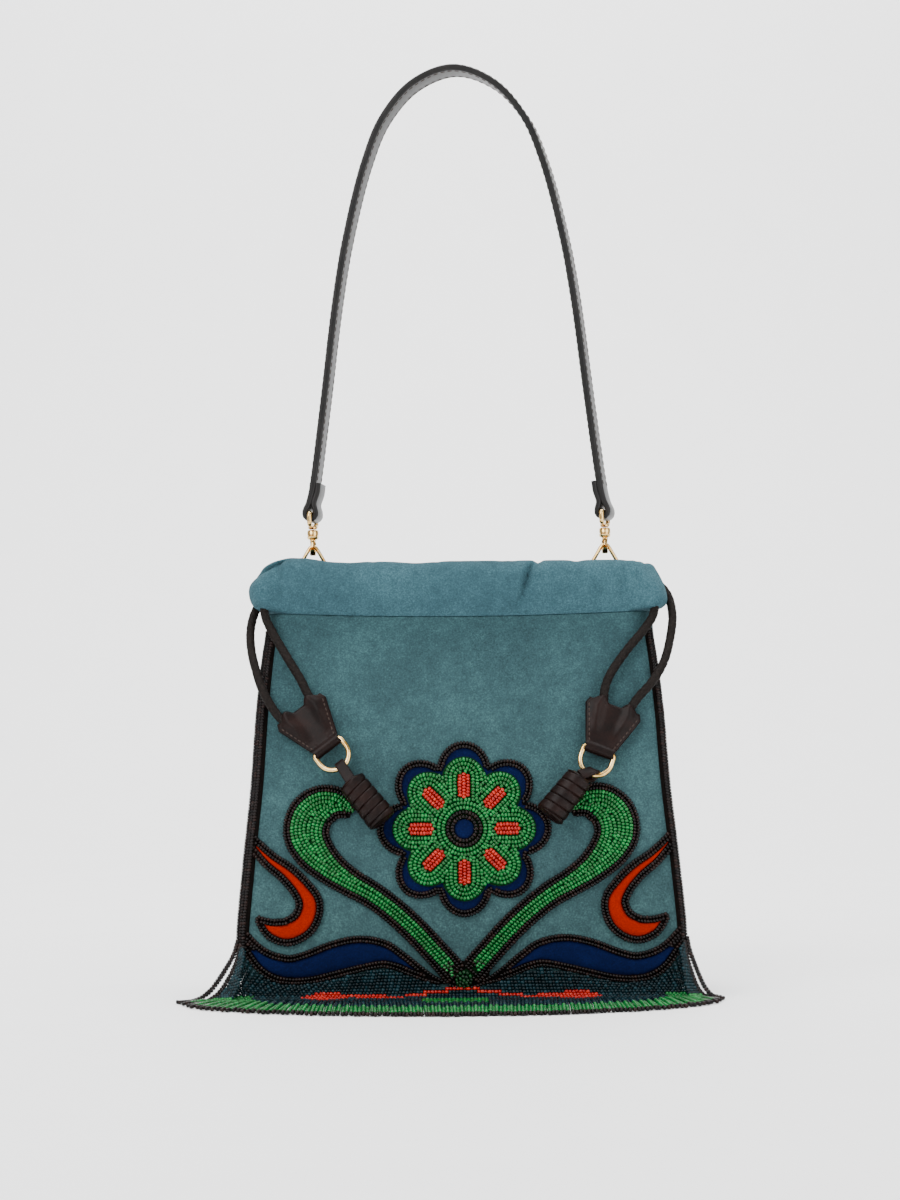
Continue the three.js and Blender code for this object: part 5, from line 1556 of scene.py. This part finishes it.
# %% Outline and scroll pieces
edge_spots = []
for side, sign in SIDES.items():
    scroll = band_outline(SCROLL, sign, False)
    spots, ways = dark_rows(scroll, sign)
    edge_spots.append(spots)
    bead_piece(f"dark_outline_beads_{side}", DARK_BEAD, spots, ways, EDGE_HEIGHT, BROWN_GLASS, "brown_beads",
               seed=3)
    bead_piece(f"green_scroll_beads_{side}", BEAD, *green_rows(scroll, sign), FILL_HEIGHT, GREEN_GLASS,
               "green_beads", f"scroll_{side}", seed=4)

# %% Knot
oval = ring_line(1.0) * [KNOT_GROUND["half"], KNOT_GROUND["tall"]]
oval_centre = [KNOT_GROUND["x"], KNOT_GROUND["z"]]
knot_felt = make_object("dark_knot_felt", *disc_patch(oval[:-1:3] + oval_centre, *BASE_FELT), DARK_FELT)
settle(knot_felt, "brown_beads")
ovals = [oval * share + oval_centre for share in np.linspace(1, 0.2, KNOT_GROUND["rows"])]
spots, ways = threaded(ovals, DARK_BEAD["pitch"])
clear = off_knot(spots)
near_foot = np.vstack(edge_spots)
near_foot = near_foot[np.hypot(*(near_foot - oval_centre).T) < 2 * KNOT_GROUND["half"]]
spots, ways = thinned(spots[clear], ways[clear], near_foot)
bead_piece("dark_knot_ground", DARK_BEAD, spots, ways, EDGE_HEIGHT, BROWN_GLASS, "brown_beads", seed=13)
knot_spots = []
for radius in KNOT["rings"]:
    count = max(1, round(2 * math.pi * radius / KNOT["pitch"]))
    for turn in np.linspace(0, 2 * math.pi, count, endpoint=False):
        knot_spots.append((KNOT["x"] + radius * math.cos(turn), KNOT["z"] + radius * math.sin(turn), radius))
knot_spots = np.array(knot_spots)
knot_places, _ = on_front(knot_spots[:, :2], KNOT["height"] - KNOT["dome"] * knot_spots[:, 2] ** 2)
# The knot's beads take the darker green: painted shade.
knot = grains("green_knot_beads", knot_places, np.tile(KNOT_THREAD, (len(knot_places), 1)), SHADED_GREEN_GLASS,
              BEAD["diameter"], BEAD["length"], seed=9)
settle(knot, "green_beads", "stem_knot")

# %% [markdown]
# ## The flower
# In the middle is a small navy disc with two dark rings and two green ones round it. Eight petals stand
# about them. Each petal is a red bar three rows wide with three green rows round it, so the green rows are
# outlines of a bar with round ends. A row stops where it would enter the next petal's share of the flower.

# %% Flower beads
CENTRE_ROWS = {"dark": (5.5, 7.6), "green": (9.7, 11.8)}
PETAL = {"bar_start": 15.2, "bar_end": 24.2, "loop_start": 13.2, "loop_end": 23.6, "first": 4.25, "rows": 3,
         "inner": 12.9, "half_gap": 1.0, "gap_step": 0.5}
# A bar's middle row is longer than its two outer rows, which bow out a little.
BAR = {"middle_start": 0.6, "middle_end": 0.8, "outer_start": 0.2, "outer_share": 0.9}
PETAL_HEIGHT = 2.35


def petal_loops():
    """The green rows round one bar that points along +x, cut to an eighth of the flower."""
    loops = []
    share = math.pi / FLOWER["lobes"]
    for row in range(PETAL["rows"]):
        radius = PETAL["first"] + row * BEAD["row"]
        turn = np.linspace(-math.pi / 2, math.pi / 2, 60)
        cap = np.column_stack([PETAL["loop_end"] + radius * np.cos(turn), radius * np.sin(turn)])
        start = np.array([[PETAL["loop_start"], -radius]])
        line = evenly(np.vstack([start, cap, start * [1, -1]]), 0.2)
        spread = np.abs(np.arctan2(line[:, 1], line[:, 0]))
        away = np.hypot(*line.T)
        inside = (spread < share - PETAL["half_gap"] / away) & (away > PETAL["inner"])
        loops.append(line[inside])
    return loops


def turned(lines, angle):
    c, s = math.cos(angle), math.sin(angle)
    return [line @ np.array([[c, s], [-s, c]]) + [FLOWER["x"], FLOWER["z"]] for line in lines]


def petal_gaps(laid):
    """Single beads for what the rows leave bare inside the petals."""
    steps = np.arange(-FLOWER["petal_tip"], FLOWER["petal_tip"], PETAL["gap_step"])
    grid = np.array([(x, z) for x in steps for z in steps])
    edge = flower_radius(np.arctan2(grid[:, 1], grid[:, 0]), FLOWER["petal_tip"], FLOWER["petal_valley"])
    away = np.hypot(*grid.T)
    grid = grid[(away > PETAL["inner"]) & (away < edge - BEAD["diameter"] / 2)]
    ways = np.column_stack([-grid[:, 1], grid[:, 0]])
    ways = ways / np.linalg.norm(ways, axis=1)[:, None]
    return gap_beads(grid + [FLOWER["x"], FLOWER["z"]], ways, laid)


def bar_lines():
    """The three red rows of one bar that points along +x."""
    start = PETAL["bar_start"]
    end = PETAL["bar_end"]
    rows = [np.array([[start - BAR["middle_start"], 0], [end + BAR["middle_end"], 0]])]
    for y in (-BEAD["row"], BEAD["row"]):
        end_y = BAR["outer_share"] * y
        rows.append(np.array([[start + BAR["outer_start"], end_y], [(start + end) / 2, y], [end, end_y]]))
    return rows


# %% Flower pieces
petal_turns = [2 * math.pi * k / FLOWER["lobes"] for k in range(FLOWER["lobes"])]
green_lines = turned([ring_line(radius) for radius in CENTRE_ROWS["green"]], 0)
green_lines += [line for turn in petal_turns for line in turned(petal_loops(), turn)]
red_lines = [line for turn in petal_turns for line in turned(bar_lines(), turn)]
dark_lines = turned([ring_line(radius) for radius in CENTRE_ROWS["dark"]], 0)
red_beads = threaded(red_lines, BEAD["pitch"])
green_beads = thinned(*threaded(green_lines, BEAD["pitch"]))
more_beads = petal_gaps(np.vstack([red_beads[0], green_beads[0]]))
green_beads = [np.vstack(pair) for pair in zip(green_beads, more_beads)]
bead_piece("green_petal_beads", BEAD, *green_beads, PETAL_HEIGHT, GREEN_GLASS, "green_beads", "flower_petals",
           seed=5)
bead_piece("red_bar_beads", BEAD, *red_beads, PETAL_HEIGHT, RED_GLASS, "brown_beads", seed=6)
bead_piece("dark_centre_beads", BEAD, *threaded(dark_lines, BEAD["pitch"]), PETAL_HEIGHT, BROWN_GLASS,
           "brown_beads", seed=7)
edge_beads = thinned(*outline_beads([ground_edge]))
bead_piece("dark_flower_edge_beads", DARK_BEAD, *edge_beads, EDGE_HEIGHT, BROWN_GLASS, "brown_beads", seed=8)

# %% [markdown]
# ## Edge ropes
# Dark beads run down each front edge, over the seam between the front and the gusset, on a strip of dark
# felt. Three rows show on the left, where the edge is turned to the viewer, and two on the right. The rows
# lie side by side round the corner, so each is the same line moved along the skin of the corner.

# %% Edge ropes
ROPE_ROWS = {"left": (-1.95, 0.0, 1.95), "right": (-1.0, 1.0)}
ROPE_PITCH = 1.36
ROPE_STEP = 0.5
# The felt strip: how far it reaches past the outer rows, its section, how far it lies under them, and which
# of the rope's points it goes through.
WELT = {"margin": 0.75, "half_thick": 1.4, "edge": 0.6, "under": 1.6, "every": 6}
for side, sign in SIDES.items():
    heights = np.arange(ROPE["foot"], ROPE["top"], ROPE_STEP)
    spots = np.array([rope_spot(z) for z in heights])
    middle = np.column_stack([sign * spots[:, 0], spots[:, 1], heights])
    skew = np.array([sign * math.sqrt(0.5), math.sqrt(0.5), 0])
    seam = middle[::WELT["every"]] - WELT["under"] * skew * [1, -1, 1]
    section = flat_section(ROPE_ROWS[side][-1] + WELT["margin"], WELT["half_thick"], WELT["edge"])
    welt = make_object(f"dark_edge_felt_{side}", *skin(sweep_rings(seam, section, up=skew)), DARK_FELT)
    settle(welt, "brown_beads")
    rows = [evenly(middle + move * skew, ROPE_PITCH) for move in ROPE_ROWS[side]]
    rope = grains(f"edge_rope_beads_{side}", np.vstack(rows), np.vstack([directions(row) for row in rows]),
                  BROWN_GLASS, BEAD["diameter"], BEAD["length"], seed=10)
    settle(rope, "brown_beads", f"edge_rope_{side}")

# %% [markdown]
# ## The bead fringe
# About 130 strings of beads hang from the lower edge of the leaves, and a few more from the corners. They
# turn at the floor and lie out in a fan. Each string is a line through the same points as the model's
# locks, with a little wander of its own. The colour of a bead depends on which string it is on and how far
# it is from the end, as in woven work: brown tips, a green border, and a red lens with a thin tail towards
# the middle on each side.

# %% Fringe strings
FRINGE = {"strings": 132, "half_span": 100.0, "arc_y": -46.5, "arc_reach": 57.5, "fan": 1.5, "drop": 5.0,
          "bend": 4.5, "second_layer": 0.7}
# The fan on each side: how far it spreads, how far its strings lean outwards, and how much of their reach the
# strings of its corner keep.
FAN = {"left": {"spread": 130.5, "lean": 12.5, "corner": 0.93},
       "right": {"spread": 119.0, "lean": 8.5, "corner": 0.55}}
STRING_BEAD = {"diameter": 1.9, "length": 1.62, "pitch": 1.5}
STRING_LIE = 1.05
STRING_STEP = 0.25
# The way down to the floor has an upper and a lower point. Each has its share of the lean. The upper one is a
# little way out, and the lower one is a share of the bend out and a little off the floor.
DROP_LEAN = (0.55, 0.85)
DROP_OUT = {"upper": 0.3, "lower": 0.35, "lower_level": 0.9}
# Where a string wanders on the floor, as shares of the way, and by how much there and at its tip.
STRING_RUNS = (0.3, 0.65)
WANDER = {"side": 0.2, "tip": 1.2}
LANDED = 0.6
# The lower edge of the leaves, where the strings start: distance from the middle and level.
STARTS = np.array([(0, 6), (10, 6.6), (15.5, 8.4), (23, 10.8), (30, 13.4), (36, 15.2), (45, 13.6), (55, 11.2),
                   (64, 8.8), (75, 7.2), (85, 8.2), (91, 10.6), (95, 14), (100, 22)]).T
# The strings of a corner lie between these two, the outermost one and one at the leaf's corner, or past the
# second where their share is over 1.
CORNER_OUTER = np.array([(103.6, -38.6, 28), (105.6, -40.4, 22), (111, -43.4, 13.4), (117.4, -45.4, 5.6),
                         (123.6, -46.5, 2), (131.4, -47.5, STRING_LIE)])
CORNER_INNER = np.array([(101.4, -40.2, 25), (103.4, -42.4, 16.5), (106.4, -44.6, 9), (110, -46.6, 4),
                         (114.6, -49.2, 1.4), (123.5, -56, STRING_LIE)])
CORNER_SHARES = {"dark": (0, 0.13, 0.58, 0.71), "teal": (0.86, 0.98, 1.1, 1.22, 1.34, 1.46, 1.58)}
print("strings:", FRINGE["strings"], "and", sum(len(row) for row in CORNER_SHARES.values()),
      "more at each corner")

# %% String lines
def fan_side(x):
    return FAN["left" if x < 0 else "right"]


def string_end(share):
    spread = fan_side(share)["spread"]
    fanned = (spread - FRINGE["half_span"]) * share * abs(share) ** FRINGE["fan"]
    x = FRINGE["half_span"] * share + fanned
    y = FRINGE["arc_y"] - FRINGE["arc_reach"] * math.sqrt(max(0, 1 - (x / spread) ** 2))
    return np.array([x, y, STRING_LIE])


def string_points(share, behind, chance):
    x = FRINGE["half_span"] * share
    top = np.interp(abs(x), *STARTS)
    (face,), _ = on_front((x, top), 0.0)
    y = face[1] - STRING_LIE - behind
    lean = fan_side(x)["lean"] * share
    bend = np.array([x + lean, y - FRINGE["bend"], STRING_LIE])
    aside = chance.uniform(-WANDER["side"], WANDER["side"])
    longer = chance.uniform(-WANDER["tip"], WANDER["tip"])
    end = string_end(share) + [aside, longer, 0]
    upper = (x + DROP_LEAN[0] * lean, y - DROP_OUT["upper"], FRINGE["drop"])
    lower = (x + DROP_LEAN[1] * lean, y - DROP_OUT["lower"] * FRINGE["bend"],
             STRING_LIE + DROP_OUT["lower_level"])
    points = [(x, y, top), upper, lower, bend]
    for run in STRING_RUNS:
        sway = chance.uniform(-WANDER["side"], WANDER["side"])
        points.append(bend + run * (end - bend) + [sway, 0, behind])
    return points + [end]


def string_beads(points):
    """Beads at their pitch along a string, counted from where it comes to lie on the floor."""
    line = smooth_line(points, STRING_STEP)
    along = np.linspace(0, line_length(line), len(line))
    landing = along[np.argmax(line[:, 2] < STRING_LIE + LANDED)]
    first = math.ceil(-landing / STRING_BEAD["pitch"])
    last = math.floor((along[-1] - landing) / STRING_BEAD["pitch"])
    counts = np.arange(first, last + 1)
    wanted = landing + counts * STRING_BEAD["pitch"]
    return np.stack([np.interp(wanted, along, column) for column in line.T], axis=1), counts


def corner_points(side, share):
    """A string from the end of the edge rope, out past the corner of the fan."""
    points = CORNER_OUTER + share * (CORNER_INNER - CORNER_OUTER)
    start = points[0, 0]
    points[:, 0] = SIDES[side] * (start + FAN[side]["corner"] * (points[:, 0] - start))
    return points


# %% Fringe colours
TIP_BEADS = 3
BORDER_END = 16
BORDER_LOW = -1.5
BORDER_WIDER = {"from": 84, "rate": 0.7}
# Beads counted from where a string comes to lie on the floor, outwards, or upwards where less than nothing.
LENS = {"left": 63.5, "right": 53.0, "half": 11.8, "tall": 2.3, "bead": -0.2}
TAIL = {"x": (3, 28, 56), "bead": (-3.0, -0.4, -0.6), "thick": 0.55}
PATCH = {"x": -3.8, "half": 14.8, "first": 1.5, "last": 14}


def string_colour(x, from_tip, from_floor):
    """The colour of a bead by where its string lands and its count from the tip and from the floor's edge."""
    across = abs(x)
    from_lens = (across - LENS["left" if x < 0 else "right"]) / LENS["half"]
    on_lens = abs(from_floor - LENS["bead"]) < LENS["tall"] * (1 - from_lens**2)
    from_tail = abs(from_floor - np.interp(across, TAIL["x"], TAIL["bead"]))
    on_tail = across < TAIL["x"][-1] and from_tail < TAIL["thick"]
    border = BORDER_END + BORDER_WIDER["rate"] * max(0.0, across - BORDER_WIDER["from"])
    if from_tip < TIP_BEADS:
        return "brown"
    if from_tip < border and from_floor > BORDER_LOW:
        return "green"
    if on_lens or on_tail:
        return "red"
    if abs(x - PATCH["x"]) < PATCH["half"] and PATCH["first"] < from_floor < PATCH["last"]:
        return "green"
    return "teal"


# %% Fringe pieces
chance = np.random.default_rng(11)
string_places = {"teal": [], "green": [], "red": [], "brown": []}
string_threads = {colour: [] for colour in string_places}
strings = [string_points(share, FRINGE["second_layer"] * (number % 2), chance)
           for number, share in enumerate(np.linspace(-1, 1, FRINGE["strings"]))]
strings += [corner_points(side, share) for side in SIDES for share in CORNER_SHARES["teal"]]
for points in strings:
    line, counts = string_beads(points)
    landing_x = line[np.argmin(np.abs(counts)), 0]
    for place, way, count in zip(line, directions(line), counts):
        colour = string_colour(landing_x, counts[-1] - count, count)
        string_places[colour].append(place)
        string_threads[colour].append(way)
for side in SIDES:
    for share in CORNER_SHARES["dark"]:
        line = smooth_line(corner_points(side, share), STRING_BEAD["pitch"])
        string_places["brown"].extend(line)
        string_threads["brown"].extend(directions(line))
STRING_FINISH = {"teal": (TEAL_GLASS, "teal_beads"), "green": (GREEN_GLASS, "green_beads"),
                 "red": (RED_GLASS, "brown_beads"), "brown": (BROWN_GLASS, "brown_beads")}
for colour, places in string_places.items():
    material, slot = STRING_FINISH[colour]
    nodes = ["bead_fringe"] if colour == "teal" else []
    fringe = grains(f"{colour}_fringe_beads", places, string_threads[colour], material,
                    STRING_BEAD["diameter"], STRING_BEAD["length"], seed=12)
    settle(fringe, slot, *nodes)

# %% [markdown]
# ## Floor and light
# The bag stands on a sheet of pale paper that curves up behind it, so there is no horizon. Large soft lamps
# light it as in a studio: the key from the upper left, a fill from the right and one from above. A fourth
# lamp, above and behind the bag, is aimed at the paper.

# %% Floor
PAPER = fibre("pale_backdrop_paper", "F7F7F7", "F9F9F9", 60, 0.0, 0.3)
SHEET = {"wide": 6000.0, "front": -2600.0, "back": 900.0, "bend": 700.0, "top": 3200.0}
turn = np.linspace(0, math.pi / 2, 20)
sheet_y = np.concatenate([[SHEET["front"]], SHEET["back"] + SHEET["bend"] * np.sin(turn),
                          [SHEET["back"] + SHEET["bend"]]])
sheet_z = np.concatenate([[0.0], SHEET["bend"] * (1 - np.cos(turn)), [SHEET["top"]]])
edge = np.column_stack([np.zeros(len(sheet_y)), sheet_y, sheet_z])
paper_vertices = np.vstack([edge - [SHEET["wide"] / 2, 0, 0], edge + [SHEET["wide"] / 2, 0, 0]])
count = len(edge)
paper_faces = [(i, i + count, i + count + 1, i + 1) for i in range(count - 1)]
paper = make_object("backdrop", paper_vertices, paper_faces, PAPER)
print("backdrop", len(paper_faces), "faces")

# %% Lamps
STUDIO = {"colour": "F2F3F5", "strength": 0.68}
BAG_MIDDLE = (0, -20, 150)
# Each lamp: where it is, where it points, its size in metres and its power in watts.
LAMPS = {
    "key": ((-900, -1300, 1150), BAG_MIDDLE, 1.3, 42.0),
    "fill": ((1150, -1150, 380), BAG_MIDDLE, 1.4, 24.0),
    "above": ((100, -100, 1700), BAG_MIDDLE, 1.6, 16.0),
    "backdrop": ((0, 500, 1900), (0, 1500, 500), 1.6, 62.0),
}
for name, (place, aim, size, power) in LAMPS.items():
    data = bpy.data.lights.new(name, "AREA")
    data.size = size
    data.energy = power
    lamp = bpy.data.objects.new(name, data)
    lamp.location = metres(place)
    lamp.rotation_euler = (Vector(metres(aim)) - lamp.location).to_track_quat("-Z", "Y").to_euler()
    bpy.context.collection.objects.link(lamp)
    print("lamp", name, power, "watts")
world = bpy.data.worlds.new("studio")
world.use_nodes = True
background = world.node_tree.nodes["Background"]
background.inputs["Color"].default_value = linear(STUDIO["colour"])
background.inputs["Strength"].default_value = STUDIO["strength"]
bpy.context.scene.world = world

# %% Update the scene
bpy.context.view_layer.update()
